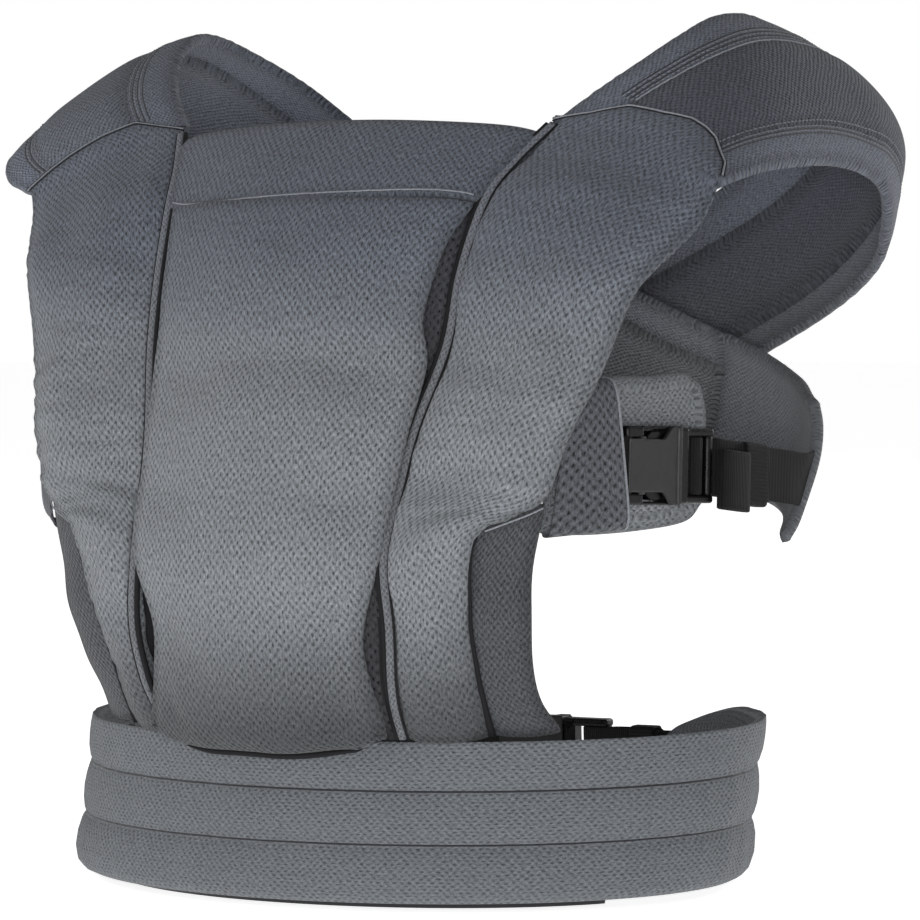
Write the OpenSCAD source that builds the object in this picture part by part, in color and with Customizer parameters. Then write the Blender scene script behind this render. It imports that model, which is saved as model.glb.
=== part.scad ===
// Soft baby carrier: padded waistband, front panel between two wings, cross-back shoulder straps,
// fold-down head support, side-release buckles at both sides and at the back of the waist.
// Frame: origin at the centre of the waist opening, level with the waistband's lower edge.
// +Z is up, -Y is the side where the baby sits, +X is the wearer's left.

/* [Waistband] */
// Half width of the waistband's outer face
waist_a = 168; // [150:1:190]
// Half depth of the waistband's outer face
waist_b = 117; // [100:1:140]
// Height of the waistband
waist_h = 75; // [60:1:95]
// Thickness of the padded waistband
waist_t = 13; // [8:1:18]
// Angle from the front at which the padded waistband ends
waist_end = 150; // [130:1:160]

/* [Panels] */
// Thickness of the front panel
panel_t = 6; // [3:0.5:10]
// Thickness of the mesh liner behind the front panel
liner_t = 3; // [2:0.5:5]
// Thickness of the padded wings
wing_t = 8; // [4:0.5:12]
// Thickness of the leg-side gussets
gusset_t = 4; // [2:0.5:6]
// Radius of the piping sewn along each wing
piping_r = 1.6; // [1:0.1:3]

/* [Straps] */
// Thickness of the shoulder foam
strap_t = 11; // [6:0.5:16]
// Share of the strap's width in each edge strip
edge_share = 0.2; // [0.1:0.01:0.3]

/* [Buckles] */
// Width of the side webbing
side_web = 25; // [20:1:30]
// Width of the waist webbing
waist_web = 38; // [25:1:50]
// Thickness of the webbing
web_t = 1.4; // [1:0.1:2.5]
// Length of the socket
socket_l = 37; // [30:1:45]
// Thickness of the socket
socket_t = 10; // [8:0.5:14]
// Radius of the bars that the webbing goes round
bar_r = 1.7; // [1.2:0.1:2.5]

/* [Node] */
// Sub-part to draw

/* [Hidden] */

slate = [0.34, 0.36, 0.40];
slate_dark = [0.24, 0.25, 0.28];
black = [0.05, 0.05, 0.055];
gap = 0.4;

// Rails of the left side, from top to bottom (wings, panel) or front to back (straps).
wing_inner = [[101, -39, 352], [91, -58, 335], [85, -74, 318], [81, -90, 286], [79, -100, 253],
    [71, -115, 217], [68, -124, 192], [66, -136, 160], [68, -136, 128], [66, -132, 104],
    [64, -126, 90], [62, -117, 77]];
wing_outer = [[187, -43, 324], [182, -54, 311], [177, -65, 298], [166, -81, 276], [154, -92, 240],
    [143, -103, 211], [134, -110, 184], [110, -127, 170], [102, -122, 134], [99, -112, 108],
    [98, -105, 92], [97, -97, 77]];
wing_crown = [4, 5, 6, 7, 8, 8, 8, 6, 5, 4, 3, 2];
gusset_inner = [[111, -125, 168], [106, -122, 150], [104, -120.5, 134], [100, -111, 108],
    [99, -104, 92], [98, -96, 78]];
gusset_outer = [[134, -107, 180], [128, -110, 155], [126, -109, 134], [122, -102, 110],
    [120, -92, 92], [123, -80, 78]];
panel_edge = [[82, -78, 317], [79, -92, 295], [72, -106, 265], [74, -108, 245], [71, -120, 217],
    [68, -129, 192], [63, -140, 160], [56, -139, 125], [58, -137, 104], [62, -134, 88],
    [63, -131, 75], [57, -128, 70]];
panel_crown = [20, 19, 18, 17, 17, 17, 16, 15, 15, 14, 12, 9];
support_side = [[83, -78, 319.3], [88.5, -65, 332], [94.5, -52.5, 344], [99, -44, 350.5]];
support_crown = [19, 18, 17, 16];
support_flat = [0.12, 0.25, 0.33, 0.36];
strap_inner = [[102, -37, 353], [118, -22, 368], [129, -8, 379], [141, 14, 393], [148, 38, 402],
    [151, 66, 402], [148, 96, 393], [136, 126, 376], [114, 150, 352], [78, 168, 325],
    [30, 178, 300], [-25, 179, 272], [-80, 168, 250], [-128, 143, 233], [-175, 81, 219]];
strap_outer = [[188, -41, 325], [192, -20, 330], [195, 2, 333], [197, 30, 334], [198, 62, 333],
    [199, 90, 328], [197, 115, 318], [186, 136, 301], [165, 155, 279], [125, 170, 255],
    [70, 180, 230], [10, 183, 205], [-55, 178, 183], [-118, 151, 166], [-176, 46, 157]];
strap_outer_right = [[188, -41, 325], [209, -35, 334], [218, -20, 344], [221, 10, 351],
    [219, 44, 351], [214, 76, 345], [206, 106, 328], [192, 132, 304], [168, 154, 279],
    [125, 170, 255], [70, 180, 230], [10, 183, 205], [-55, 178, 183], [-118, 151, 166],
    [-176, 46, 157]];
strap_crown = [4, 6, 8, 9, 9, 11, 19, 29, 30, 21, 12, 8, 7, 7, 4];
strap_crown_right = [4, 7, 8, 8, 9, 10, 13, 16, 16, 14, 10, 8, 7, 7, 4];
strap_lift = [0, 0, 0, 0, 0, 0, 0, 1, 5, 11, 15, 16, 14, 6, 0];
strap_lift_right = [0, 0, 0, 0, 0, 0, 0, 0, -2, -7, -10, -9, -5, -1, 0];
left_strap = [strap_outer, strap_crown, strap_lift];
right_strap = [strap_outer_right, strap_crown_right, strap_lift_right];
end_share = 0.86;

// Side webbing line: where the socket starts, and its direction.
side_start = [157, -71.5, 198.5];
side_dir = [0.17, 0.985, -0.06];
waist_start = [-31, 127, 37];
plug_x = socket_l + 0.4;
mid_bar_x = plug_x + 13.6;
end_bar_x = plug_x + 21.6;
plug_end_x = end_bar_x + 2.4;
loop_end_x = 104;
strand_x = 83;

function lerp(a, b, t) = a + (b - a) * t;
function unit(v) = v / norm(v);
function mirrored(P) = [for (p = P) [-p[0], p[1], p[2]]];

// Smooth curve through the points P; s runs from 0 to 1.
function on_curve(P, s) =
    let (n = len(P) - 1, t = min(max(s, 0), 1) * n, i = min(floor(t), n - 1), f = t - i,
         b = P[i], c = P[i + 1], a = i > 0 ? P[i - 1] : 2 * b - c,
         d = i + 2 <= n ? P[i + 2] : 2 * c - b)
    0.5 * (2 * b + (c - a) * f + (2 * a - 5 * b + 4 * c - d) * f * f
        + (3 * b - a - 3 * c + d) * f * f * f);

// Outward direction of a patch between the rails A and B at s.
function outward(A, B, s, side) =
    let (h = 0.02,
         along = on_curve(A, s + h) + on_curve(B, s + h) - on_curve(A, s - h) - on_curve(B, s - h),
         across = on_curve(B, s) - on_curve(A, s))
    side * unit(cross(along, across));

// The same direction with its upward part scaled by flat, so a crown can bulge straight forwards.
function bulge(A, B, s, side, flat) =
    let (n = outward(A, B, s, side)) unit([n[0], n[1], n[2] * on_curve(flat, s)]);

// Faces of a closed grid: two layers of (rows + 1) x (cols + 1) points.
function slab_faces(rows, cols) =
    let (w = cols + 1, m = (rows + 1) * w,
         edge = concat([for (i = [0 : cols]) i], [for (j = [1 : rows]) j * w + cols],
            [for (i = [1 : cols]) rows * w + cols - i], [for (j = [1 : rows - 1]) (rows - j) * w]))
    concat(
        [for (j = [0 : rows - 1], i = [0 : cols - 1], k = [0, 1])
            let (q = j * w + i) k == 0 ? [q, q + w, q + 1] : [q + 1, q + w, q + w + 1]],
        [for (j = [0 : rows - 1], i = [0 : cols - 1], k = [0, 1])
            let (q = m + j * w + i) k == 0 ? [q, q + 1, q + w] : [q + 1, q + w + 1, q + w]],
        [for (e = [0 : len(edge) - 1], k = [0, 1])
            let (a = edge[e], b = edge[(e + 1) % len(edge)])
            k == 0 ? [a, b, a + m] : [b, b + m, a + m]]);

// A padded panel between the rails A and B: crowned outwards, thinner at its edges.
module panel(A, B, crown, thick, thin, rows, cols, s0 = 0, s1 = 1, u0 = 0, u1 = 1, lift = [0, 0],
        side = 1, flat = [1, 1]) {
    layers = [for (layer = [0, 1], j = [0 : rows], i = [0 : cols])
        let (s = lerp(s0, s1, j / rows), u = lerp(u0, u1, i / cols), v = i / cols,
             n = bulge(A, B, s, side, flat), t = lerp(thin, thick, min(1, 6 * v * (1 - v))))
        lerp(on_curve(A, s), on_curve(B, s), u)
            + n * (on_curve(crown, s) * 4 * u * (1 - u) + on_curve(lift, s) - layer * t)];
    polyhedron(layers, slab_faces(rows, cols), convexity = 6);
}

// A round cord sewn along the curve P.
module pipe(P, r, rows, sides = 8) {
    m = rows + 1;
    points = [for (j = [0 : rows], k = [0 : sides - 1])
        let (s = j / rows, t = unit(on_curve(P, s + 0.02) - on_curve(P, s - 0.02)),
             a = unit(cross(t, [0, 1, 0.3])), b = cross(t, a), q = 360 * k / sides)
        on_curve(P, s) + r * (a * cos(q) + b * sin(q))];
    walls = [for (j = [0 : rows - 1], k = [0 : sides - 1], h = [0, 1])
        let (a = j * sides + k, b = j * sides + (k + 1) % sides)
        h == 0 ? [a, b, a + sides] : [b, b + sides, a + sides]];
    polyhedron(points, concat(walls, [[for (k = [0 : sides - 1]) sides - 1 - k]],
        [[for (k = [0 : sides - 1]) rows * sides + k]]), convexity = 4);
}

// A strip of the waist ring: profile points are [inset from the outer face, height].
module ring_strip(profile, from, to, steps, taper = 0) {
    n = len(profile);
    points = [for (j = [0 : steps], k = [0 : n - 1])
        let (a = lerp(from, to, j / steps), p = profile[k],
             shrink = 1 - taper * pow(max(0, (abs(a) - waist_end + 22) / 22), 2),
             z = waist_h / 2 + (p[1] - waist_h / 2) * shrink,
             lean = -9 + 11 * z / waist_h, inset = p[0] * shrink)
        [(waist_a - inset) * sin(a) + lean, -(waist_b - inset) * cos(a), z]];
    walls = [for (j = [0 : steps - 1], k = [0 : n - 1], h = [0, 1])
        let (a = j * n + k, b = j * n + (k + 1) % n)
        h == 0 ? [a, a + n, b] : [b, a + n, b + n]];
    polyhedron(points, concat(walls, [[for (k = [0 : n - 1]) k]],
        [[for (k = [0 : n - 1]) steps * n + n - 1 - k]]), convexity = 6);
}

module waistband() color(slate) {
    low = waist_h * 0.36;
    high = waist_h * 0.7;
    outer = [[1, 0], [-4, 3], [-6, waist_h * 0.15], [-5, waist_h * 0.28], [-2.5, low],
        [-4, waist_h * 0.44], [-4.5, waist_h * 0.54], [-4, waist_h * 0.63], [-2.5, high],
        [-4, waist_h * 0.77], [-4.7, waist_h * 0.87], [-4.5, waist_h * 0.97], [-3.5, waist_h]];
    inner = [[0, waist_h], [waist_t - 4, waist_h * 0.93], [waist_t, waist_h * 0.8], [waist_t, 4],
        [waist_t - 3, 0]];
    ring_strip(concat(outer, inner), -waist_end, waist_end, 44, 0.35);
}

module waist_pad() color(slate_dark)
    ring_strip([[waist_t + gap, -3], [waist_t + gap, waist_h - 6], [waist_t + 3, waist_h - 6],
        [waist_t + 3, -3]], -62, 62, 20);

module front_panel() color(slate)
    panel(mirrored(panel_edge), panel_edge, panel_crown, panel_t, 2.5, 22, 8, flat = [0.2, 0.2]);

module panel_liner() color(slate_dark) {
    rail = [for (p = wing_inner) if (p[2] < 330) [p[0] - 4, p[1] + 8, max(p[2] - 6, 79)]];
    panel(mirrored(rail), rail, [10, 10, 10, 10, 10, 9, 8, 7, 6, 4], liner_t, 2, 14, 8,
        flat = [0.2, 0.2]);
}

module wing() color(slate)
    panel([for (p = wing_inner) p + [3.9, 0, 0]], wing_outer, wing_crown, wing_t, 3.5, 22, 6);

module piping() color(black) {
    rail = [for (p = wing_inner) [p[0] + 1.8, p[1] + 0.3, p[2]]];
    pipe(rail, piping_r, 24);
}

module gusset() color(slate_dark)
    panel(gusset_inner, gusset_outer, [2, 2, 2, 2, 2, 2], gusset_t, 2.5, 10, 3);

module strap_part(strap, u0, u1, s0, s1, cols, rows, thin)
    panel(strap_inner, strap[0], strap[1], strap_t * (s0 > 0.5 ? 0.7 : 1), thin, rows, cols,
        s0, s1, u0, u1, strap[2], -1);

module strap_foam(strap) color(slate_dark)
    strap_part(strap, edge_share + 0.003, 1 - edge_share - 0.003, 0.012, end_share, 4, 26, 8);

module strap_inner_edge(strap) color(slate)
    strap_part(strap, 0, edge_share - 0.003, 0.012, end_share, 2, 26, 5);

module strap_outer_edge(strap) color(slate)
    strap_part(strap, 1 - edge_share + 0.003, 1, 0.012, end_share, 2, 26, 5);

module strap_end(strap) color(slate)
    strap_part(strap, 0, 1, end_share + 0.004, 1, 6, 8, 4);

module head_support() color(slate)
    panel(mirrored(support_side), support_side, support_crown, 7, 3, 6, 10, side = -1,
        flat = support_flat);

module support_edge() color(slate_dark) {
    top = [for (u = [0 : 0.125 : 1])
        let (n = bulge(mirrored(support_side), support_side, 1, -1, support_flat))
        lerp(mirrored(support_side)[3], support_side[3], u)
            + n * (support_crown[3] * 4 * u * (1 - u) - 1.5) + [0, 1.5, 2.2]];
    pipe_x(top, 1.5);
}

// A round cord that runs mostly along X.
module pipe_x(P, r, rows = 20, sides = 8) {
    points = [for (j = [0 : rows], k = [0 : sides - 1])
        let (q = 360 * k / sides) on_curve(P, j / rows) + r * [0, cos(q), sin(q)]];
    walls = [for (j = [0 : rows - 1], k = [0 : sides - 1], h = [0, 1])
        let (a = j * sides + k, b = j * sides + (k + 1) % sides)
        h == 0 ? [a, a + sides, b] : [b, a + sides, b + sides]];
    polyhedron(points, concat(walls, [[for (k = [0 : sides - 1]) k]],
        [[for (k = [0 : sides - 1]) rows * sides + sides - 1 - k]]), convexity = 4);
}

pad_top = [[141, -84, 236], [147, -69, 237], [152.5, -42, 236], [156, -18, 233], [157.4, -8, 224]];
pad_low = [[130, -103, 171], [141, -83, 169], [150, -52, 169], [156, -18, 172], [157.4, -8, 181]];

module side_pad() color(slate)
    panel(pad_low, pad_top, [0, 0], 5.5, 3, 10, 6, lift = [2.7, 2.7], side = -1);

// Fabric sleeve round the pad, over the end of the socket's webbing.
module cover_band() color(slate) {
    low = [[136, -97], [142.6, -86.2], [149.4, -75.6]];
    top = [[145.2, -81.5], [147.2, -78.6], [149.4, -75.6]];
    half = [7, 8.4, 9.9];
    tall = 36.3;
    wall = 1.3;
    along = unit([0.52, 0.85, 0]);
    out = [along[1], -along[0], 0];
    n = 4;
    corners = [[-1, -1], [1, -1], [1, 1], [-1, 1]];
    points = [for (j = [0 : 2], layer = [0, 1], c = corners)
        let (xy = c[1] < 0 ? low[j] : top[j])
        [xy[0], xy[1], 203] + out * c[0] * (half[j] - layer * wall)
            + [0, 0, c[1] * (tall - layer * wall)]];
    walls = [for (j = [0, 1], layer = [0, 1], k = [0 : n - 1], h = [0, 1])
        let (a = j * 8 + layer * 4 + k, b = j * 8 + layer * 4 + (k + 1) % n,
             f = h == 0 ? [a, b, a + 8] : [b, b + 8, a + 8])
        layer == 0 ? f : [f[2], f[1], f[0]]];
    ends = [for (e = [0, 1], k = [0 : n - 1], h = [0, 1])
        let (a = e * 16 + k, b = e * 16 + (k + 1) % n,
             f = h == 0 ? [a, a + 4, b] : [b, a + 4, b + 4])
        e == 0 ? f : [f[2], f[1], f[0]]];
    polyhedron(points, concat(walls, ends), convexity = 6);
}

// Moves a piece drawn along +X onto the side webbing line.
module on_side() {
    x = unit(side_dir);
    y = unit(cross([0, 0, 1], x));
    z = cross(x, y);
    multmatrix([[x[0], y[0], z[0], side_start[0]], [x[1], y[1], z[1], side_start[1]],
        [x[2], y[2], z[2], side_start[2]], [0, 0, 0, 1]]) children();
}

module on_waist() translate(waist_start) children();

// Webbing that goes round a bar at x = 0 and comes back: two legs of length l along +X.
module web_loop(w, l) {
    r = bar_r + 0.25;
    translate([0, 0, -w / 2]) linear_extrude(height = w) difference() {
        union() {
            circle(r + web_t, $fn = 40);
            translate([0, -r - web_t]) square([l, 2 * (r + web_t)]);
        }
        circle(r, $fn = 40);
        translate([0, -r]) square([l + 1, 2 * r]);
    }
}

module bar(x, w, r) translate([x, 0, -w / 2 - 1]) cylinder(h = w + 2, r = r, $fn = 32);

module socket(w) color(black) {
    half = w / 2 + 5.5;
    difference() {
        rotate([90, 0, 0]) linear_extrude(height = socket_t, center = true) difference() {
            translate([0.4, -half]) square([socket_l - 0.4, 2 * half]);
            for (s = [-1, 1])
                translate([20, s * (half + 14.5)]) circle(18, $fn = 48);
            translate([-1, -w / 2 - 0.6]) square([10, w + 1.2]);
        }
        translate([12, -3, -w / 2 - 2.5]) cube([socket_l, 6, w + 5]);
        translate([14, -3, -half - 1]) cube([13, 6, 2 * half + 2]);
    }
    bar(2.2, w, bar_r);
    for (s = [-1, 1])
        translate([30, s * socket_t / 2, 0]) rotate([0, 90, 0])
            translate([0, 0, -1]) cylinder(h = 2, r = 0.5, $fn = 24);
}

module plug(w) color(black) {
    half = w / 2 + 4.5;
    arm = half - w / 2 - 0.6;
    translate([plug_x, -4, -half]) cube([6.6, 8, 2 * half]);
    for (s = [-1, 1])
        translate([plug_x + 6, -4, s > 0 ? half - arm : -half])
            cube([plug_end_x - plug_x - 6, 8, arm]);
    translate([14, -2.4, -2]) cube([plug_x - 14 + 1, 4.8, 4]);
    bar(mid_bar_x, w, bar_r);
    bar(end_bar_x, w, bar_r - 0.2);
}

// One spring arm of the plug; side is 1 for the upper arm and -1 for the lower.
module prong(w, side) color(black) {
    mid = w / 2 - 3.5;
    rotate([90, 0, 0]) linear_extrude(height = 4.8, center = true) scale([1, side]) union() {
        translate([15, mid - 1.5]) square([22, 3]);
        polygon([[15, mid], [24, mid], [24, mid + 5.6], [19, mid + 5.6], [15, mid + 1.5]]);
    }
}

module web_tail(w, side, l = 14) color(black)
    translate([0, side * (bar_r + 0.25 + web_t + 0.3 + 2.6), -w / 2]) linear_extrude(height = w) {
        translate([plug_end_x + 4, 0]) circle(2.6, $fn = 32);
        translate([plug_end_x + 4, -2.6]) square([l, 5.2]);
        translate([plug_end_x + 4 + l, 0]) circle(2.6, $fn = 32);
    }

module keeper(w) color(black) {
    inner_y = bar_r + 0.25 + web_t + 0.35;
    inner_z = w / 2 + 0.4;
    difference() {
        translate([85, -inner_y - 1, -inner_z - 1])
            cube([12, 2 * inner_y + 2, 2 * inner_z + 2]);
        translate([84, -inner_y, -inner_z]) cube([14, 2 * inner_y, 2 * inner_z]);
    }
}

module side_anchor() color(black)
    on_side() translate([2.2, 0, 0]) rotate([0, 0, 180]) web_loop(side_web, 8);

module anchor_strip() color(black) {
    path = [[154.6, -78.9], [151.6, -83.2], [146.6, -89], [141, -95.6]];
    top = [for (p = path) [p[0], p[1], 198.8 + side_web / 2]];
    low = [for (p = path) [p[0], p[1], 198.8 - side_web / 2]];
    panel(low, top, [0, 0], 2.4, 2.4, 6, 1, side = -1);
}

module strap_webbing() color(black) {
    line = [for (x = [strand_x, 90, 108, 122]) side_start + unit(side_dir) * x];
    path = concat(line, [[180.6, 64, 189], [179.5, 78, 188.5], [174, 94, 189]]);
    top = [for (p = path) p + [0, 0, side_web / 2]];
    low = [for (p = path) p - [0, 0, side_web / 2]];
    panel(low, top, [0, 0], web_t, web_t, 18, 1, lift = [web_t / 2, web_t / 2], side = -1);
}

module side_loop() color(black)
    on_side() translate([mid_bar_x, 0, 0]) web_loop(side_web, loop_end_x - mid_bar_x);

module waist_loop() color(black)
    on_waist() translate([mid_bar_x, 0, 0]) web_loop(waist_web, loop_end_x - 14 - mid_bar_x);

module waist_anchor() color(black)
    on_waist() translate([2.2, 0, 0]) rotate([0, 0, 180]) web_loop(waist_web, 16);

// Webbing from the back buckle to the end of the padded band.
module waist_tab(near_x) color(black) {
    path = [[near_x, 127], [68, 127], [84, 126.8], [96, 119], [107, 105.5], [118, 93]];
    top = [for (p = path) [p[0], p[1], 37 + waist_web / 2]];
    low = [for (p = path) [p[0], p[1], 37 - waist_web / 2]];
    panel(low, top, [0, 0], web_t, web_t, 16, 1, lift = [web_t / 2, web_t / 2], side = -1);
}

waistband();
waist_pad();
front_panel();
panel_liner();
wing();  // wing_left
mirror([1, 0, 0]) wing();  // wing_right
piping();  // piping_left
mirror([1, 0, 0]) piping();  // piping_right
gusset();  // gusset_left
mirror([1, 0, 0]) gusset();  // gusset_right
strap_foam(left_strap);  // strap_foam_left
mirror([1, 0, 0]) strap_foam(right_strap);  // strap_foam_right
strap_inner_edge(left_strap);  // strap_inner_edge_left
mirror([1, 0, 0]) strap_inner_edge(right_strap);  // strap_inner_edge_right
strap_outer_edge(left_strap);  // strap_outer_edge_left
mirror([1, 0, 0]) strap_outer_edge(right_strap);  // strap_outer_edge_right
strap_end(left_strap);  // strap_end_left
mirror([1, 0, 0]) strap_end(right_strap);  // strap_end_right
side_pad();  // side_pad_left
mirror([1, 0, 0]) side_pad();  // side_pad_right
cover_band();  // cover_band_left
mirror([1, 0, 0]) cover_band();  // cover_band_right
side_anchor();  // side_anchor_left
mirror([1, 0, 0]) side_anchor();  // side_anchor_right
anchor_strip();  // anchor_strip_left
mirror([1, 0, 0]) anchor_strip();  // anchor_strip_right
on_side() socket(side_web);  // side_socket_left
mirror([1, 0, 0]) on_side() socket(side_web);  // side_socket_right
strap_webbing();  // strap_webbing_left
mirror([1, 0, 0]) strap_webbing();  // strap_webbing_right
waist_anchor();
waist_tab(strand_x - 31);  // waist_tab_left
mirror([1, 0, 0]) waist_tab(45);  // waist_tab_right
on_waist() socket(waist_web);  // waist_socket
head_support();
support_edge();
on_side() plug(side_web);  // side_plug_left
mirror([1, 0, 0]) on_side() plug(side_web);  // side_plug_right
side_loop();  // side_loop_left
mirror([1, 0, 0]) side_loop();  // side_loop_right
on_side() web_tail(side_web, -1);  // side_tail_left
mirror([1, 0, 0]) on_side() web_tail(side_web, -1);  // side_tail_right
on_side() prong(side_web, 1);  // side_prong_upper_left
on_side() prong(side_web, -1);  // side_prong_lower_left
mirror([1, 0, 0]) on_side() prong(side_web, 1);  // side_prong_upper_right
mirror([1, 0, 0]) on_side() prong(side_web, -1);  // side_prong_lower_right
on_side() keeper(side_web);  // side_keeper_left
mirror([1, 0, 0]) on_side() keeper(side_web);  // side_keeper_right
on_waist() plug(waist_web);  // waist_plug
waist_loop();
on_waist() web_tail(waist_web, 1, 6);  // waist_tail
on_waist() prong(waist_web, 1);  // waist_prong_upper
on_waist() prong(waist_web, -1);  // waist_prong_lower
on_waist() translate([-9, 0, 0]) keeper(waist_web);  // waist_keeper
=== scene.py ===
"""Looks of a soft baby carrier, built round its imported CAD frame. Metres; +Z up, -Y front."""
import math

import bpy
import bmesh
import numpy as np
from mathutils import Matrix, Vector


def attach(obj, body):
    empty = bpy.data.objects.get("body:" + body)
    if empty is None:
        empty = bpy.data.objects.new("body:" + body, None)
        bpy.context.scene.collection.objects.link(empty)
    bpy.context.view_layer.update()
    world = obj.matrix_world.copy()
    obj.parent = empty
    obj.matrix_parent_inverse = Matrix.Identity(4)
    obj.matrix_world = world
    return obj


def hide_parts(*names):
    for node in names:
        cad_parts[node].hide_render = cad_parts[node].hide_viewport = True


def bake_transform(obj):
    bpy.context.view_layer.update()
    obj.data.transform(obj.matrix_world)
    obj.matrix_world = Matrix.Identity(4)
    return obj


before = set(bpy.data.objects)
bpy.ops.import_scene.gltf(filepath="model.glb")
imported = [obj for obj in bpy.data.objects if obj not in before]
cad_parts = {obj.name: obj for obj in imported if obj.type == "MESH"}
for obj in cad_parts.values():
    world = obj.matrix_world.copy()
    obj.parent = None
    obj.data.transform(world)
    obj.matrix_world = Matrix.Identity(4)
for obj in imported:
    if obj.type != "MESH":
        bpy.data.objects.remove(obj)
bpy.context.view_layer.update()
MM = 0.001

# ------------------------------------------------------------------ design (millimetres)
# the waist ring's half axes, its height and thickness, and where it ends, in degrees from the front
WAIST_A, WAIST_B, WAIST_H, WAIST_T, WAIST_END = 168, 117, 75, 13, 150
# Each piece lies between two rails on the wearer's left. Those of the wings, gussets and panel
# go down, the head support's goes up, and those of the straps and pads go to the rear.
# A crown is how far the middle of each row rises, and a lift is how far the whole row does.
WING_IN = [[101, -39, 352], [91, -58, 335], [85, -74, 318], [81, -90, 286], [79, -100, 253],
           [71, -115, 217], [68, -124, 192], [66, -136, 160], [68, -136, 128], [66, -132, 104],
           [64, -126, 90], [62, -117, 77]]
WING_OUT = [[187.5, -44.5, 316], [184, -51.5, 307.5], [178.2, -62.5, 296.5], [166, -81, 276],
            [154, -92, 240], [143, -103, 211], [134, -110, 184], [110, -127, 170],
            [102, -122, 134], [99, -112, 108], [98, -105, 92], [97, -97, 77]]
WING_CROWN = [4, 5, 6, 7, 8, 8, 8, 6, 5, 4, 3, 2]
GUSSET_IN = [[111, -126, 170], [105, -123, 150], [103, -121, 134], [100, -111, 108],
             [99, -104, 92], [98, -96, 78]]
GUSSET_OUT = [[134, -108, 182], [128, -110, 155], [126, -109, 134], [122, -102, 110],
              [120, -92, 92], [123, -80, 78]]
PANEL_EDGE = [[82, -78, 317], [75, -93.5, 297], [71, -106, 267], [73.5, -108, 245],
              [71, -120, 217], [69, -129, 192], [66.5, -139.5, 161], [56, -139, 125],
              [58, -137, 104], [62, -134, 88], [63, -131, 75], [57, -128, 70]]
PANEL_CROWN = [20, 19, 18, 17, 17, 17, 16, 15, 15, 14, 12, 9]
SUPPORT_SIDE = [[84, -77, 319.3], [89.7, -64, 332], [95.6, -51.5, 344], [100, -43, 350.5]]
SUPPORT_CROWN = [19, 18, 17, 16]
SUPPORT_FLAT = [0.12, 0.25, 0.33, 0.36]
STRAP_IN = [[102, -37, 353], [118, -22, 368], [129, -8, 379], [141, 14, 393], [148, 38, 402],
            [151, 66, 402], [148, 96, 393], [136, 126, 376], [114, 150, 352], [78, 168, 325],
            [30, 178, 300], [-25, 179, 272], [-80, 168, 250], [-128, 143, 233], [-175, 81, 219]]
STRAP_REAR = [[125, 170, 255], [70, 180, 230], [10, 183, 205], [-55, 178, 183],
              [-118, 151, 166], [-176, 46, 157]]
STRAP_OUT_L = [[188, -41, 325], [192, -20, 330], [195, 2, 333], [197, 30, 334],
               [198, 62, 333], [199, 90, 328], [197, 115, 318], [186, 136, 301],
               [165, 155, 279]] + STRAP_REAR
STRAP_OUT_R = [[188, -41, 325], [209, -35, 334], [218, -20, 344], [221, 10, 351],
               [219, 44, 351], [214, 76, 345], [206, 106, 328], [192, 132, 304],
               [168, 154, 279]] + STRAP_REAR
STRAP_CROWN_L = [4, 6, 8, 9, 9, 11, 19, 29, 30, 21, 12, 8, 7, 7, 4]
STRAP_CROWN_R = [4, 7, 8, 8, 9, 10, 13, 16, 16, 14, 10, 8, 7, 7, 4]
STRAP_LIFT_L = [0, 0, 0, 0, 0, 0, 0, 1, 5, 11, 15, 16, 14, 6, 0]
STRAP_LIFT_R = [0, 0, 0, 0, 0, 0, 0, 0, -2, -7, -10, -9, -5, -1, 0]
# how far the pointed top of each wing runs up its strap, from the inner edge to the outer
TONGUE_L = [[0, 0.002], [0.142, 0.0254], [0.27, 0.056], [0.45, 0.069], [0.583, 0.085],
            [0.675, 0.085], [0.758, 0.079], [0.93, 0.044], [1, 0.012]]
TONGUE_R = [[0, 0.002], [0.108, 0.02], [0.225, 0.042], [0.417, 0.040], [0.642, 0.032],
            [0.8, 0.0245], [0.967, 0.015], [1, 0.012]]
PAD_TOP = [[141, -84, 236], [147, -69, 237], [152.5, -42, 236], [156.2, -17, 236.5],
           [158, -5.5, 231]]
PAD_LOW = [[130, -103, 171], [141, -83, 169], [150, -52, 169], [156, -18, 171],
           [158, -5.5, 178]]
# what differs between the straps: outer rail, crown, lift and tongue
STRAPS = {"left": (STRAP_OUT_L, STRAP_CROWN_L, STRAP_LIFT_L, TONGUE_L),
          "right": (STRAP_OUT_R, STRAP_CROWN_R, STRAP_LIFT_R, TONGUE_R)}
# where the sockets start, and the way the left side's webbing runs
WAIST_START = np.array([-31.0, 127, 37])
SIDE_START = np.array([157, -71.5, 198.5])
SIDE_DIR = np.array([0.17, 0.985, -0.06])
SAG = 0.085     # how far the side webbing droops for each millimetre past SAG_FROM
SAG_FROM = 60


# ------------------------------------------------------------------ curves and grids
def curve(points, s):
    """Points on the Catmull-Rom curve through points, at each s from 0 to 1."""
    p = np.asarray(points, float)
    p = p[:, None] if p.ndim == 1 else p
    n = len(p) - 1
    t = np.clip(np.atleast_1d(s), 0, 1) * n
    i = np.minimum(t.astype(int), n - 1)
    f = (t - i)[:, None]
    b, c = p[i], p[i + 1]
    a = np.where((i > 0)[:, None], p[np.maximum(i - 1, 0)], 2 * b - c)
    d = np.where((i + 2 <= n)[:, None], p[np.minimum(i + 2, n)], 2 * c - b)
    return 0.5 * (2 * b + (c - a) * f + (2 * a - 5 * b + 4 * c - d) * f ** 2
                  + (3 * b - a - 3 * c + d) * f ** 3)


def unit(v):
    return v / np.maximum(np.linalg.norm(v, axis=-1, keepdims=True), 1e-9)


def mirrored(points):
    return [[-p[0], *p[1:]] for p in points]


def grid_normals(g, side=1):
    """Unit normals of a grid of points."""
    return unit(np.cross(np.gradient(g, axis=0), np.gradient(g, axis=1))) * side


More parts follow.
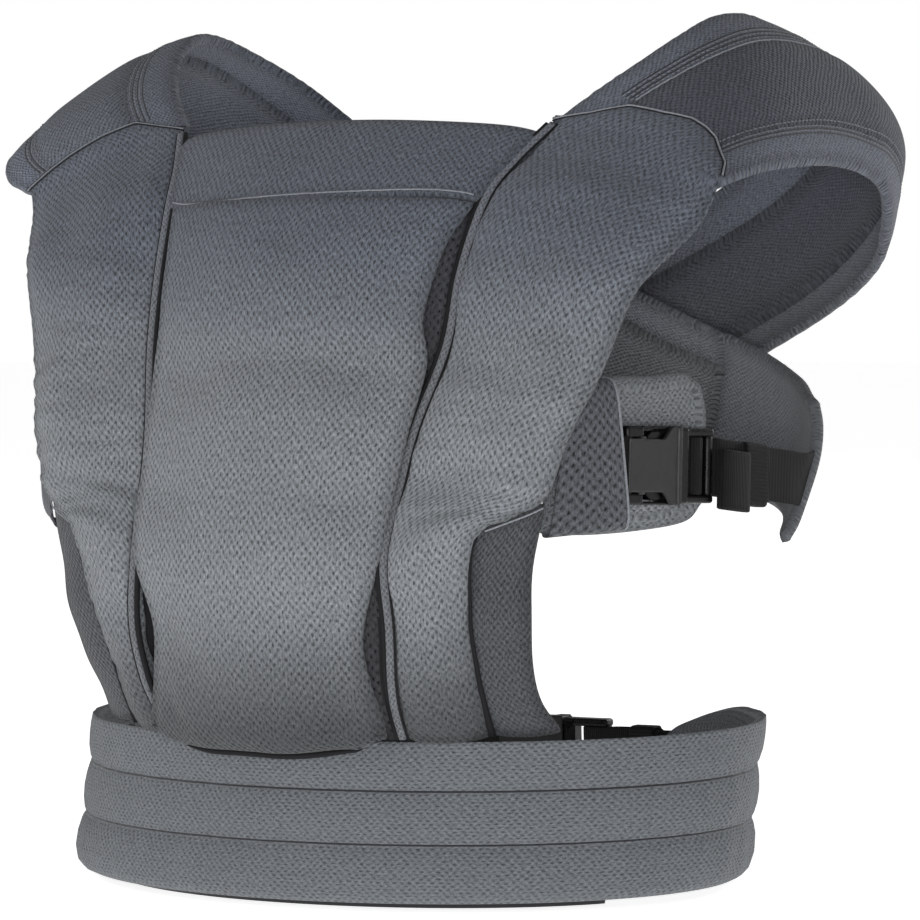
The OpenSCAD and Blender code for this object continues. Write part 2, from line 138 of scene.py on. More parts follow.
def stack(*parts):
    """Arrays that broadcast together, as the last axis of one array."""
    return np.stack(np.broadcast_arrays(*parts), -1)


def turned(side):
    """Factors that mirror a point of the wearer's left to the given side."""
    return np.array([-1 if side == "right" else 1, 1, 1])


def grid_faces(rows, cols, closed=False):
    """Quads over rows x cols points; closed joins the last column to the first."""
    idx = np.arange(rows * cols).reshape(rows, cols)
    if closed:
        idx = np.concatenate([idx, idx[:, :1]], axis=1)
    return np.stack([idx[:-1, :-1], idx[1:, :-1], idx[1:, 1:], idx[:-1, 1:]], -1).reshape(-1, 4)


def swept_faces(rings, sides):
    """Faces of a row of rings of points, with both ends filled."""
    last = (rings - 1) * sides
    return (grid_faces(rings, sides, closed=True)[:, ::-1].tolist()
            + [list(range(sides))[::-1], list(range(last, last + sides))])


def grid_uv(g):
    """Millimetres along the cloth: across from its middle column, and along from its first row."""
    across = np.linalg.norm(np.diff(g, axis=1), axis=2)
    u = np.concatenate([np.zeros((len(g), 1)), np.cumsum(across, axis=1)], axis=1)
    along = np.linalg.norm(np.diff(g, axis=0), axis=2).mean(axis=1)
    v = np.concatenate([[0], np.cumsum(along)])
    return stack(u - u[:, [g.shape[1] // 2]], v[:, None])


class Patch:
    """A crowned piece of cloth between two rails: a grid of points with its normals and UVs.
    It covers shares s along the rails and u across them. side turns its normals over, flip
    mirrors it to the wearer's right, and flat scales the upward part of its rise."""

    def __init__(self, a, b, crown, rows, cols, s=(0, 1), u=(0, 1), lift=(0, 0), side=1,
                 flip=False, flat=(1, 1)):
        self.s = np.linspace(s[0], s[1], rows + 1)
        self.u = np.linspace(u[0], u[1], cols + 1)
        ra, rb = curve(a, self.s), curve(b, self.s)
        step = 0.02
        ahead, behind = [curve(a, self.s + h) + curve(b, self.s + h) for h in (step, -step)]
        n = unit(np.cross(ahead - behind, rb - ra)) * side
        n[:, 2] *= curve(flat, self.s)[:, 0]
        n = unit(n)
        c = curve(crown, self.s)[:, 0]
        up = curve(lift, self.s)[:, 0]
        w = self.u[None, :, None]
        bulge = c[:, None] * 4 * self.u * (1 - self.u) + up[:, None]
        self.g = ra[:, None] * (1 - w) + rb[:, None] * w + n[:, None] * bulge[:, :, None]
        self.side = side
        if flip:
            self.g[..., 0] *= -1
            self.side = -side
        self.uv = grid_uv(self.g)

    def normals(self):
        return grid_normals(self.g, self.side)

    def push(self, height):
        """Moves the cloth along its normals by height, a grid of millimetres."""
        self.g = self.g + self.normals() * height[:, :, None]

    def waves(self, *kind):
        """Smooth noise over the cloth, of a kind that noise_2d takes."""
        return noise_2d(self.uv[..., 0], self.uv[..., 1], *kind)

    def at(self, s, u):
        """Points and normals at shares s and u of the patch's own rows and columns."""
        r = np.clip(np.atleast_1d(s), 0, 1) * (self.g.shape[0] - 1)
        c = np.clip(np.atleast_1d(u), 0, 1) * (self.g.shape[1] - 1)
        r, c = np.broadcast_arrays(r, c)
        i = np.minimum(r.astype(int), self.g.shape[0] - 2)
        j = np.minimum(c.astype(int), self.g.shape[1] - 2)
        fr, fc = (r - i)[:, None], (c - j)[:, None]
        n = self.normals()

        def mix(a):
            return ((a[i, j] * (1 - fr) + a[i + 1, j] * fr) * (1 - fc)
                    + (a[i, j + 1] * (1 - fr) + a[i + 1, j + 1] * fr) * fc)
        return mix(self.g), unit(mix(n))


def finer(grid, rows, cols):
    """A coarse grid of vectors resampled smoothly to rows x cols cells."""
    n, m, k = grid.shape
    tall = curve(grid.reshape(n, m * k), np.linspace(0, 1, rows + 1)).reshape(rows + 1, m, k)
    wide = curve(tall.transpose(1, 0, 2).reshape(m, -1), np.linspace(0, 1, cols + 1))
    return wide.reshape(cols + 1, rows + 1, k).transpose(1, 0, 2)


def billow(patch, pinned, depth, grow):
    """Lets the cloth settle over its padding: a short cloth simulation on a coarse copy.
    pinned(row, col) is true where the cloth is sewn down, from its shares along and across."""
    cell, stiff, frames, limit = 7.0, 8.0, 20, 3.0
    size = np.abs(patch.uv[-1, 0, 1] - patch.uv[0, 0, 1])
    width = np.abs(patch.uv[:, -1, 0] - patch.uv[:, 0, 0]).max()
    rows = int(np.clip(size / cell, 6, 150))
    cols = int(np.clip(width / cell, 5, 60))
    outer = finer(patch.g, rows, cols)
    inner = outer - grid_normals(outer, patch.side) * depth
    row, col = np.meshgrid(np.linspace(0, 1, rows + 1), np.linspace(0, 1, cols + 1), indexing="ij")
    fixed = np.vectorize(pinned)(row, col).astype(float)
    for edge in (fixed[0], fixed[-1], fixed[:, 0], fixed[:, -1]):
        edge[:] = 1
    m = (rows + 1) * (cols + 1)
    idx = np.arange(m).reshape(rows + 1, cols + 1)
    quads = grid_faces(rows + 1, cols + 1)
    ring = np.concatenate([idx[0, :-1], idx[:-1, -1], idx[-1, :0:-1], idx[:0:-1, 0]])
    rim = np.stack([ring, np.roll(ring, -1), np.roll(ring, -1) + m, ring + m], -1)
    obj = new_object("settling_cloth", np.concatenate([outer, inner]).reshape(-1, 3),
                     np.concatenate([quads, quads[:, ::-1] + m, rim]))
    fix_normals(obj)
    group = obj.vertex_groups.new(name="sewn")
    for i, w in enumerate(np.concatenate([fixed.ravel(), np.ones(m)])):
        if w > 0:
            group.add([i], float(w), "REPLACE")
    cloth = obj.modifiers.new("cloth", "CLOTH")
    c = cloth.settings
    c.quality, c.mass, c.air_damping = 6, 0.25, 1.5
    c.tension_stiffness = c.compression_stiffness = stiff
    c.shear_stiffness, c.bending_stiffness = stiff * 0.6, 0.35
    c.use_pressure, c.uniform_pressure_force = True, 4
    c.shrink_min = -grow
    c.vertex_group_mass = "sewn"
    c.effector_weights.gravity = 0
    cloth.collision_settings.use_collision = False
    cloth.collision_settings.use_self_collision = False
    cloth.point_cache.frame_start, cloth.point_cache.frame_end = 1, frames
    for f in range(1, frames + 1):
        bpy.context.scene.frame_set(f)
    result = obj.evaluated_get(bpy.context.evaluated_depsgraph_get())
    co = np.zeros(2 * m * 3)
    result.data.vertices.foreach_get("co", co)
    moved = co.reshape(-1, 3)[:m].reshape(outer.shape) / MM - outer
    bpy.context.scene.frame_set(1)
    bpy.data.objects.remove(obj, do_unlink=True)
    # the rise over the padding, without the small crumples of a coarse cloth
    rise = (moved * grid_normals(outer, patch.side)).sum(axis=2)
    rise = np.clip(rise - np.median(rise), -limit, limit)
    for _ in range(2):
        wide = np.pad(rise, 1, mode="edge")
        rise = (wide[:-2, 1:-1] + wide[2:, 1:-1] + wide[1:-1, :-2] + wide[1:-1, 2:]
                + 4 * rise) / 8
    ends = np.minimum(1, 8 * np.minimum(row, 1 - row)) * np.minimum(1, 8 * np.minimum(col, 1 - col))
    patch.push(finer((rise * ends)[:, :, None], *np.subtract(patch.g.shape[:2], 1))[:, :, 0])


def noise_1d(x, seed, scale):
    """Smooth noise from -1 to 1 along x."""
    r = np.random.default_rng(seed)
    phase, freq = r.uniform(0, 2 * math.pi, 5), r.uniform(0.6, 1.9, 5)
    return sum(np.sin(x / scale * f * 2 * math.pi + p) for f, p in zip(freq, phase)) / 5


def noise_2d(u, v, seed, scale, stretch=(1, 1), turn=0.0):
    """Smooth noise over the cloth, with waves about scale millimetres long."""
    r = np.random.default_rng(seed)
    total = 0
    for k in range(9):
        a = turn + r.normal(0, 0.55)
        f = r.uniform(0.6, 1.7) / scale
        total = total + np.sin(2 * math.pi * f * (u * math.cos(a) / stretch[0]
                               + v * math.sin(a) / stretch[1]) + r.uniform(0, 6.28))
    return total / 4.5


def rise_from(d, width):
    """How far padding has risen at distance d from a seam, from 0 to 1."""
    return 1 - near(d, width)


def near(d, width):
    """A soft hump of height 1 where d is 0."""
    return np.exp(-(d / width) ** 2)


def smooth_step(x):
    x = np.clip(x, 0, 1)
    return x * x * (3 - 2 * x)


# ------------------------------------------------------------------ meshes
NO_EDGE = 50.0      # the distance to a sewn edge, where a piece has none


def new_object(name, verts, faces, uvs=None, smooth=True, edge=None):
    """A mesh object from millimetre points; uvs is one (u, v) in millimetres per vertex,
    and edge is each vertex's distance to the cloth's sewn edge."""
    mesh = bpy.data.meshes.new(name)
    mesh.from_pydata((np.asarray(verts) * MM).tolist(), [], [list(f) for f in faces])
    mesh.update()
    if uvs is not None:
        layer = mesh.uv_layers.new(name="Cloth")
        loops = np.zeros(len(mesh.loops), int)
        mesh.loops.foreach_get("vertex_index", loops)
        layer.data.foreach_set("uv", np.asarray(uvs, np.float32)[loops].ravel())
        reach = np.full(len(verts), NO_EDGE) if edge is None else np.asarray(edge, float)
        mesh.attributes.new("edge", "FLOAT", "POINT").data.foreach_set("value", reach)
    if smooth:
        mesh.polygons.foreach_set("use_smooth", [True] * len(mesh.polygons))
    obj = bpy.data.objects.new(name, mesh)
    bpy.context.scene.collection.objects.link(obj)
    return obj


def fix_normals(obj):
    bm = bmesh.new()
    bm.from_mesh(obj.data)
    bmesh.ops.recalc_face_normals(bm, faces=bm.faces)
    bm.to_mesh(obj.data)
    bm.free()


def slab(name, patch, thick, wrap=True):
    """A closed piece of padded cloth: the patch, its back at thick millimetres, a round rim.
    The weave runs on round the rim if wrap is true, and is drawn into it if not."""
    rim = (0.15, 0.5, 0.85)
    outer, n = patch.g, patch.normals()
    inner = outer - n * np.broadcast_to(thick, outer.shape[:2])[:, :, None]
    r, c = outer.shape[:2]
    loop = ([(0, j) for j in range(c)] + [(i, c - 1) for i in range(1, r)]
            + [(r - 1, j) for j in range(c - 2, -1, -1)] + [(i, 0) for i in range(r - 2, 0, -1)])
    li, lj = np.array(loop).T
    front, back = outer[li, lj], inner[li, lj]
    tangent = unit(np.roll(front, -1, 0) - np.roll(front, 1, 0))
    out = unit(np.cross(tangent, unit(front - back)))
    if ((front - outer.mean(axis=(0, 1))) * out).sum() < 0:
        out = -out
    half = np.linalg.norm(front - back, axis=1)[:, None] / 2
    rings = [front * (1 - w) + back * w + out * half * math.sin(math.pi * w) for w in rim]
    m, k = r * c, len(loop)
    verts = np.concatenate([outer.reshape(-1, 3), inner.reshape(-1, 3)] + rings)
    away = np.zeros((k, 2))
    away[lj == 0, 0], away[lj == c - 1, 0] = -1, 1
    away[li == 0], away[li == r - 1] = (0, -1), (0, 1)
    away = away * 3 * half if wrap else np.full((k, 2), 0.8)
    uvs = np.concatenate([patch.uv.reshape(-1, 2)] * 2
                         + [patch.uv[li, lj] + away * w for w in rim])
    quads = grid_faces(r, c)
    faces = [quads, quads[:, ::-1] + m]
    first = li * c + lj
    levels = [first] + [2 * m + q * k + np.arange(k) for q in range(len(rim))] + [first + m]
    for a, b in zip(levels, levels[1:]):
        faces.append(np.stack([a, np.roll(a, -1), np.roll(b, -1), b], -1))
    # each point's distance to a sewn edge or end, with zero on the rim; the knit paints shade from
    # it
    run = patch.uv[..., 1]
    reach = np.minimum(edge_distance(patch), np.minimum(run - run[:1], run[-1:] - run)).ravel()
    reach = np.concatenate([reach, reach, np.zeros(k * len(rim))])
    obj = new_object(name, verts, np.concatenate(faces), uvs, edge=reach)
    fix_normals(obj)
    return obj


def edge_distance(patch):
    """Distance in millimetres to the nearer long edge of the patch."""
    u = patch.uv[..., 0]
    return np.minimum(u - u[:, :1], u[:, -1:] - u)


def thickness(patch, full, thin):
    """Thickness over the patch: full in the middle, thin at both long edges."""
    v = np.linspace(0, 1, patch.g.shape[1])
    return np.broadcast_to(thin + (full - thin) * np.minimum(1, 6 * v * (1 - v)),
                           patch.g.shape[:2])


def tube(name, points, radius, sides, flat=1.0, normals=(0.0, 0.2, 1.0)):
    """A round or flattened cord along the points; radius may be one number per point."""
    p = np.asarray(points, float)
    t = unit(np.gradient(p, axis=0))
    ref = np.broadcast_to(normals, p.shape)
    a = unit(ref - t * (ref * t).sum(1, keepdims=True))
    b = np.cross(t, a)
    rad = np.broadcast_to(radius, len(p))[:, None]
    ang = np.linspace(0, 2 * math.pi, sides, endpoint=False)
    rings = np.stack([p + rad * (a * math.sin(q) * flat + b * math.cos(q)) for q in ang], 1)
    dist = np.concatenate([[0], np.cumsum(np.linalg.norm(np.diff(p, axis=0), axis=1))])
    uv = stack(ang * np.max(radius), dist[:, None])
    obj = new_object(name, rings.reshape(-1, 3), swept_faces(len(p), sides), uv.reshape(-1, 2))
    fix_normals(obj)
    return obj


def resample(points, step, extra):
    """Evenly spaced points along a line, about step apart, with extra sampled alongside."""
    d = np.concatenate([[0], np.cumsum(np.linalg.norm(np.diff(points, axis=0), axis=1))])
    q = np.linspace(0, d[-1], max(2, int(round(d[-1] / step)) + 1))
    return [np.stack([np.interp(q, d, a[:, k]) for k in range(3)], 1) for a in (points, extra)]


STITCH_PROFILE = [(0.0, 0.15), (0.18, 0.8), (0.5, 1.0), (0.82, 0.8), (1.0, 0.15)]


def stitches(name, lines, material, length, pitch, radius):
    """Rows of sewn stitches along lines of (points, normals), as one mesh of the carrier."""
    verts, faces = [], []
    sides, sunk, squash = 5, 0.05, 0.8
    one = swept_faces(len(STITCH_PROFILE), sides)
    for points, normals in lines:
        p, n = resample(points, pitch, normals)
        t = unit(np.gradient(p, axis=0))
        for at, along, up in zip(p, t, n):
            nn = unit(up - along * np.dot(up, along))
            bb = np.cross(along, nn)
            base = len(verts)
            for w, r in STITCH_PROFILE:
                mid = at + along * (w - 0.5) * length + nn * (radius * (0.9 * r) - sunk)
                for q in np.arange(sides) * 2 * math.pi / sides:
                    verts.append(mid + radius * r * (nn * math.cos(q) * squash
                                                     + bb * math.sin(q)))
            faces += [[base + i for i in face] for face in one]
    return finish_piece(new_object(name, np.array(verts), faces), "carrier", material)


def finish_piece(obj, body, material, node=None):
    """Gives the object its material, its body and the CAD node that it replaces."""
    obj.data.materials.append(MAT[material])
    if body:
        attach(obj, body)
    if node:
        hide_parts(node)
    return obj


def cord(name, points, radius, material, sides=8, body="carrier", node=None, **form):
    """Piping, a sewn line, or a dark cord of painted shadow in a gap: a tube along the points."""
    return finish_piece(tube(name, points, radius, sides, **form), body, material, node)


def pad(name, patch, thick, material, node, wrap=True):
    """A padded piece that is part of the carrier itself."""
    return finish_piece(slab(name, patch, thick, wrap), "carrier", material, node)


# ------------------------------------------------------------------ materials
class Value:
    """A number in a node tree: sums and products of values add the Math nodes they need."""

    def __init__(self, nodes, socket):
        self.nodes, self.socket = nodes, socket

    def math(self, kind, other=0.0, swap=False):
        n = self.nodes.add("ShaderNodeMath", operation=kind)
        for s, v in zip(n.inputs, (other, self) if swap else (self, other)):
            self.nodes.put(s, v)
        return Value(self.nodes, n.outputs[0])

    def __add__(self, other):
        return self.math("ADD", other)

    def __sub__(self, other):
        return self.math("SUBTRACT", other)

    def __rsub__(self, other):
        return self.math("SUBTRACT", other, swap=True)

    def __mul__(self, other):
        return self.math("MULTIPLY", other)

    def __truediv__(self, other):
        return self.math("DIVIDE", other)

    __radd__, __rmul__ = __add__, __mul__


class Nodes:
    """A short way to write the node tree of a material, or of the world."""

    def __init__(self, owner, shader="Principled BSDF"):
        owner.use_nodes = True
        self.owner, self.tree = owner, owner.node_tree
        self.sockets = self.tree.nodes[shader].inputs

    def add(self, kind, **props):
        n = self.tree.nodes.new(kind)
        for k, v in props.items():
            setattr(n, k, v)
        return n

    def put(self, socket, value):
        if isinstance(value, Value):
            value = value.socket
        if isinstance(value, bpy.types.NodeSocket):
            self.tree.links.new(value, socket)
        else:
            socket.default_value = value

    def shader(self, **values):
        """Sets the shader's own sockets, named with _ for a space."""
        for name, value in values.items():
            self.put(self.sockets[name.replace("_", " ")], value)

    def mix(self, f, a, b, blend="MIX"):
        n = self.add("ShaderNodeMix", data_type="RGBA", blend_type=blend)
        for s, v in zip((n.inputs[0], n.inputs[6], n.inputs[7]), (f, a, b)):
            self.put(s, v)
        return n.outputs[2]

    def ramp(self, f, low, high, a=0.0, b=1.0):
        n = self.add("ShaderNodeMapRange", interpolation_type="SMOOTHSTEP")
        for s, v in zip(n.inputs, (f, low, high, a, b)):
            self.put(s, v)
        return Value(self, n.outputs[0])

    def noise(self, scale, detail=2.0, rough=0.5, vector=None):
        """Noise from 0 to 1, in the piece's own metres unless a vector is given."""
        n = self.add("ShaderNodeTexNoise")
        n.inputs["Scale"].default_value = scale
        n.inputs["Detail"].default_value = detail
        n.inputs["Roughness"].default_value = rough
        self.put(n.inputs["Vector"], vector or self.place())
        return Value(self, n.outputs["Fac"])

    def place(self):
        return self.add("ShaderNodeTexCoord").outputs["Object"]

    def parts(self, vector):
        """The x, y and z of a vector."""
        n = self.add("ShaderNodeSeparateXYZ")
        self.put(n.inputs[0], vector)
        return [Value(self, s) for s in n.outputs]

    def cloth(self):
        """The cloth's own u and v, in millimetres."""
        return self.parts(self.add("ShaderNodeUVMap", uv_map="Cloth").outputs[0])[:2]

    def bump(self, height, strength, distance, normal=None):
        n = self.add("ShaderNodeBump")
        n.inputs["Strength"].default_value = strength
        n.inputs["Distance"].default_value = distance
        self.put(n.inputs["Height"], height)
        if normal:
            self.put(n.inputs["Normal"], normal)
        self.shader(Normal=n.outputs[0])

    def paint(self, tint, bright):
        """Colours the surface with tint times bright."""
        gray = self.add("ShaderNodeCombineColor")
        for s in gray.inputs:
            self.put(s, bright)
        self.shader(Base_Color=self.mix(1.0, tint, gray.outputs[0], "MULTIPLY"))

    def surface(self, rough, sheen, specular):
        self.shader(Roughness=rough, Sheen_Weight=sheen, Sheen_Roughness=0.55,
                    Specular_IOR_Level=specular)


def new_material(name):
    return Nodes(bpy.data.materials.new(name))


def rgb(r, g, b):
    """A linear colour from 8-bit sRGB numbers."""
    def lin(c):
        c = c / 255
        return c / 12.92 if c <= 0.04045 else ((c + 0.055) / 1.055) ** 2.4
    return (lin(r), lin(g), lin(b), 1.0)


def knit(name, tint, dark, pitch, size=1.0, slant=0.0, streak=0.9, grain=1.0, bumps=0.16,
         painted_shade=(1.0, 1.0, 1.0), shape=(0.5, 0.76), run=(1.15, 0.4)):
    """Knitted air mesh: staggered pinholes, yarn streaks, mottling, and painted shade: darker and
    bluer towards the top, darker at the foot and along sewn edges. dark is the holes' tone, pitch
    their spacing across and along, and shape times size their half width and half height. run is
    how often the yarn changes, and the painted shade takes one tone halfway up the carrier, one at
    its top and one at its foot."""
    m = new_material(name)
    u, v = m.cloth()
    z = m.parts(m.place())[2]
    row = (v + (m.noise(130, 1) - 0.5) * 1.5) / pitch[1]
    stagger = row.math("FLOOR").math("ABSOLUTE").math("MODULO", 2.0) * 0.5
    col = (u + (m.noise(150, 1) - 0.5) * 2.2) / pitch[0] + stagger
    fv = row.math("FRACT") - 0.5
    fu = (col + 400.0).math("FRACT") - 0.5 + fv * slant
    du = (fu * (pitch[0] / (shape[0] * size))).math("POWER", 2.0)
    dv = (fv * (pitch[1] / (shape[1] * size))).math("POWER", 2.0)
    hole = m.ramp(du + dv, 0.2, 1.7, 1.0, 0.0) * m.ramp(m.noise(520, 1), 0.34, 0.62, 0.3, 1.0)
    loops = (fu * (2 * math.pi)).math("COSINE") * (fv * math.pi).math("COSINE")
    along = m.add("ShaderNodeCombineXYZ")
    m.put(along.inputs[0], u * run[0])
    m.put(along.inputs[1], v * run[1])
    yarn = m.noise(1.0, 2.5, 0.65, along.outputs[0])
    speck = m.noise(1700, 2, 0.7)
    cloud = m.noise(20, 3, 0.6)
    detail = ((yarn - 0.5) * (streak * 2) + (speck - 0.5) * grain + (cloud - 0.5) * 0.2
              - loops * bumps)
    # the light catches the weave more towards the top
    bright = 1 + detail * m.ramp(z, 0.22, 0.33, 1.0, 1.3 if painted_shade[1] < 0.7 else 1.0)
    bright = bright * (1 - hole * (1 - dark))
    # painted shade by height: the tone eases from its value halfway up to the top's tone, and to
    # the foot's tone below
    bright = bright * (m.ramp(z, 0.2, 0.33, *painted_shade[:2]) * m.ramp(z, 0.07, 0.15, painted_shade[2], 1.0))
    # painted shade: the knit darkens within about 7 mm of a sewn edge, and most on the rims
    edge = m.add("ShaderNodeAttribute", attribute_name="edge").outputs["Fac"]
    bright = bright * m.ramp(edge, 0.0, 7.0, 0.72, 1.0)
    # painted shade: a bluer tint towards the top, at full strength where the top is also painted
    # darker
    cool = m.ramp(z, 0.23, 0.33) * (1.0 if painted_shade[1] < 1 else 0.4)
    warm_tint, cool_tint = [[c * k for c, k in zip(tint, tone)]
                            for tone in ((1.02, 1.01, 0.97, 1), (0.96, 1.0, 1.11, 1))]
    m.paint(m.mix(cool, warm_tint, cool_tint), bright)
    m.bump(yarn * 0.5 + speck * 0.25 - hole - loops * 0.35, 0.8, 0.0007)
    m.surface(0.9, 0.12, 0.2)
    return m.owner


def webbing(name, tint, rib=1.15):
    """Woven strap: fine ribs with a yarn grain."""
    m = new_material(name)
    u, v = m.cloth()
    ribs = (v * (2 * math.pi / rib)).math("SINE")
    weft = (u * (2 * math.pi / 0.9)).math("SINE")
    weave = ribs + ribs * weft * 0.7
    speck = m.noise(1400, 2, 0.7)
    m.paint(tint, 1 + weave * 0.3 + (speck - 0.5) * 0.5 + (m.noise(60) - 0.5) * 0.4)
    m.bump(weave + speck * 0.8, 0.5, 0.0004)
    m.surface(0.75, 0.02, 0.2)
    return m.owner


def binding(name, tint, sheen=0.2):
    """Plain tight knit, for bindings, piping and linings."""
    m = new_material(name)
    speck = m.noise(1300, 3, 0.7)
    m.paint(tint, m.ramp(speck, 0.25, 0.75, 0.72, 1.28) + (m.noise(50, 2) - 0.5) * 0.3)
    m.bump(speck, 0.4, 0.0004)
    m.surface(0.85, sheen, 0.3)
    return m.owner


def plastic(name, tint, rough_low, rough_high, specular):
    """Moulded plastic: fine grain, slightly worn, and lighter in colour along its sharp edges."""
    m = new_material(name)
    wear = m.noise(240, 3, 0.6)
    edge = m.ramp(m.add("ShaderNodeNewGeometry").outputs["Pointiness"], 0.5, 0.62)
    m.paint(tint, wear * 0.25 + edge * 0.8 + 0.9)
    bevel = m.add("ShaderNodeBevel", samples=4)
    bevel.inputs["Radius"].default_value = 0.0006
    m.bump(m.noise(2600, 2, 0.6), 0.12, 0.0002, bevel.outputs[0])
    m.shader(Roughness=m.ramp(wear, 0.3, 0.75, rough_low, rough_high),
             Specular_IOR_Level=specular)
    return m.owner


# painted shade: the main knit is darkened towards its top and far more at its foot
PAINTED_SHADE = (1.06, 0.55, 0.29)       # the main knit is darkest at the foot
MAT = {
    "mesh": knit("knit_slate", rgb(109, 113, 119), dark=0.48, pitch=(3.5, 2.2), streak=1.1,
                 bumps=0.13, shape=(0.46, 0.84), painted_shade=PAINTED_SHADE),
    "mesh_fine": knit("knit_fine", rgb(96, 99, 105), dark=0.7, pitch=(2.4, 1.5), size=0.7),
    "band": knit("knit_band", rgb(95, 99, 105), dark=0.55, pitch=(3.5, 1.9), size=0.85,
                 grain=1.1, bumps=0.1, shape=(1.05, 0.5), run=(0.45, 1.1)),
    "cover": knit("knit_cover", rgb(70, 72, 78), dark=0.35, pitch=(4.6, 2.6), size=1.15,
                  streak=1.4, grain=1.5, bumps=0.34),
    "dark": knit("knit_dark", rgb(64, 66, 71), dark=0.62, pitch=(2.8, 1.9), size=0.7,
                 streak=1.3, grain=1.6, bumps=0.34),
    "liner": knit("knit_liner", rgb(70, 71, 76), dark=0.2, pitch=(4.4, 2.5), size=1.1),
    "foam": knit("knit_foam", rgb(78, 80, 86), dark=0.55, pitch=(2.6, 1.6), size=0.8, slant=0.3,
                 streak=1.3, grain=1.5, bumps=0.26, painted_shade=(1.1, 0.7, 1.0)),
    # painted light: a lighter copy of the strap foam for the wearer's right strap, which the light
    # catches more
    "foam_lit_copy": knit("knit_foam_lit_copy", rgb(95, 98, 102), dark=0.6, pitch=(2.6, 1.6), size=0.8,
                       slant=0.3, streak=1.2, grain=1.4, bumps=0.24, painted_shade=(1.1, 0.8, 1.0)),
    "strip": knit("knit_strip", rgb(96, 99, 105), dark=0.7, pitch=(2.2, 1.5), size=0.6,
                  streak=1.3, grain=1.5, bumps=0.24, painted_shade=(1.06, 0.86, 1.0)),
    "piping": binding("piping_light", rgb(112, 115, 121)),
    "lining": binding("lining", rgb(28, 28, 32)),
    # painted shadow: a near-black cloth for cords laid in gaps and grooves where shade falls
    "gap": binding("gap_painted_shadow", rgb(15, 15, 18), 0.0),
    "thread": binding("thread_dark", rgb(50, 52, 57), 0.1),
    "thread_mid": binding("thread_mid", rgb(112, 115, 121), 0.1),
    "thread_light": binding("thread_light", rgb(124, 127, 133), 0.1),
    "webbing": webbing("webbing_black", rgb(12, 12, 13)),
    "elastic": webbing("elastic_black", rgb(12, 12, 13), rib=1.7),
    "plastic": plastic("plastic_black", rgb(21, 21, 22), 0.34, 0.5, 0.36),
    "gloss": plastic("plastic_gloss", rgb(5, 5, 6), 0.22, 0.38, 0.17),
}

# ------------------------------------------------------------------ camera, light, floor
CAMERA_AZIMUTH, CAMERA_PITCH, CAMERA_PAN, CAMERA_ROLL = np.radians([32, -3.05, -0.49, -1.2])
CAMERA_DISTANCE, CAMERA_HEIGHT = 2.5, 0.328


def place_camera():
    ahead = Vector((-math.sin(CAMERA_AZIMUTH), math.cos(CAMERA_AZIMUTH), 0))
    right = Vector((math.cos(CAMERA_AZIMUTH), math.sin(CAMERA_AZIMUTH), 0))
    camera = bpy.data.cameras.new("camera")
    camera.lens = 206.4
    camera.sensor_width = 36
    camera.clip_end = 20
    cam = bpy.data.objects.new("camera", camera)
    bpy.context.scene.collection.objects.link(cam)
    at = Vector((0, 0, CAMERA_HEIGHT)) - ahead * CAMERA_DISTANCE
    look = Matrix.Rotation(CAMERA_PAN, 3, "Z") @ Matrix.Rotation(CAMERA_PITCH, 3, right) @ ahead
    cam.matrix_world = (Matrix.Translation(at) @ look.to_track_quat("-Z", "Y").to_matrix().to_4x4()
                        @ Matrix.Rotation(CAMERA_ROLL, 4, "Z"))
    bpy.context.scene.camera = cam


def area_light(name, at, size, power):
    """A round light that faces the middle of the carrier."""
    light = bpy.data.lights.new(name, "AREA")
    light.shape = "DISK"
    light.size = size
    light.energy = power
    o = bpy.data.objects.new(name, light)
    bpy.context.scene.collection.objects.link(o)
    o.location = at
    o.rotation_euler = (Vector((0, 0, 0.2)) - Vector(at)).to_track_quat("-Z", "Y").to_euler()


def studio_world():
    """White at the horizon, dimmer overhead."""
    sky = Nodes(bpy.data.worlds.new("studio"), "Background")
    height = sky.parts(sky.add("ShaderNodeTexCoord").outputs["Generated"])[2]
    sky.shader(Color=(1, 1, 1, 1), Strength=sky.ramp(height, 0.045, 0.12, 1.0, 0.2))
    bpy.context.scene.world = sky.owner


def pale_floor():
    reach, height = 6000, -3.6
    floor = new_object("floor", [(x * reach, y * reach, 0) for x, y in
                                 ((-1, -1), (1, -1), (1, 1), (-1, 1))], [(0, 1, 2, 3)],
                       smooth=False)
    floor.location.z = height * MM
    m = new_material("floor_pale")
    m.shader(Base_Color=m.mix(m.noise(3), (0.86, 0.86, 0.86, 1), (0.89, 0.89, 0.89, 1)),
             Emission_Color=(1, 1, 1, 1), Emission_Strength=0.8)
    m.surface(0.9, 0, 0.1)
    floor.data.materials.append(m.owner)


place_camera()
area_light("key", (1.45, -2.3, 0.2), 0.7, 46)
area_light("fill", (-1.3, -2.1, 0.3), 1.0, 12)
area_light("back", (0.6, 2.6, 1.0), 1.2, 24)
area_light("side", (-1.9, -0.9, 1.5), 1.0, 9)
studio_world()
pale_floor()
bpy.context.scene.view_settings.view_transform = "Standard"

# ------------------------------------------------------------------ waistband
BAND_STEPS, BAND_SIDES, BAND_OUTER = 560, 84, 0.62      # the last is the outer face's share
BAND_RADIUS = 146       # for distances along the band
BAND_SEAMS = (0.36, 0.70)
# the outer face from the lower edge to the upper: height, and how far it stands out
BAND_FACE = np.array([[0, -1], [0.02, 2.2], [0.06, 4.6], [0.15, 6.2], [0.25, 5.9], [0.32, 4.6],
                      [0.36, 2.6], [0.40, 4.0], [0.46, 5.0], [0.54, 5.3], [0.62, 4.6],
                      [0.67, 3.7], [0.70, 2.4], [0.73, 3.7], [0.79, 4.8], [0.87, 5.1],
                      [0.95, 4.9], [1, 4.4]])
BAND_BACK = np.array([[0, 9], [0.04, 11.5], [0.1, 13], [0.5, 13], [0.78, 12.6], [0.9, 9],
                      [0.96, 4], [1, -2.2]])


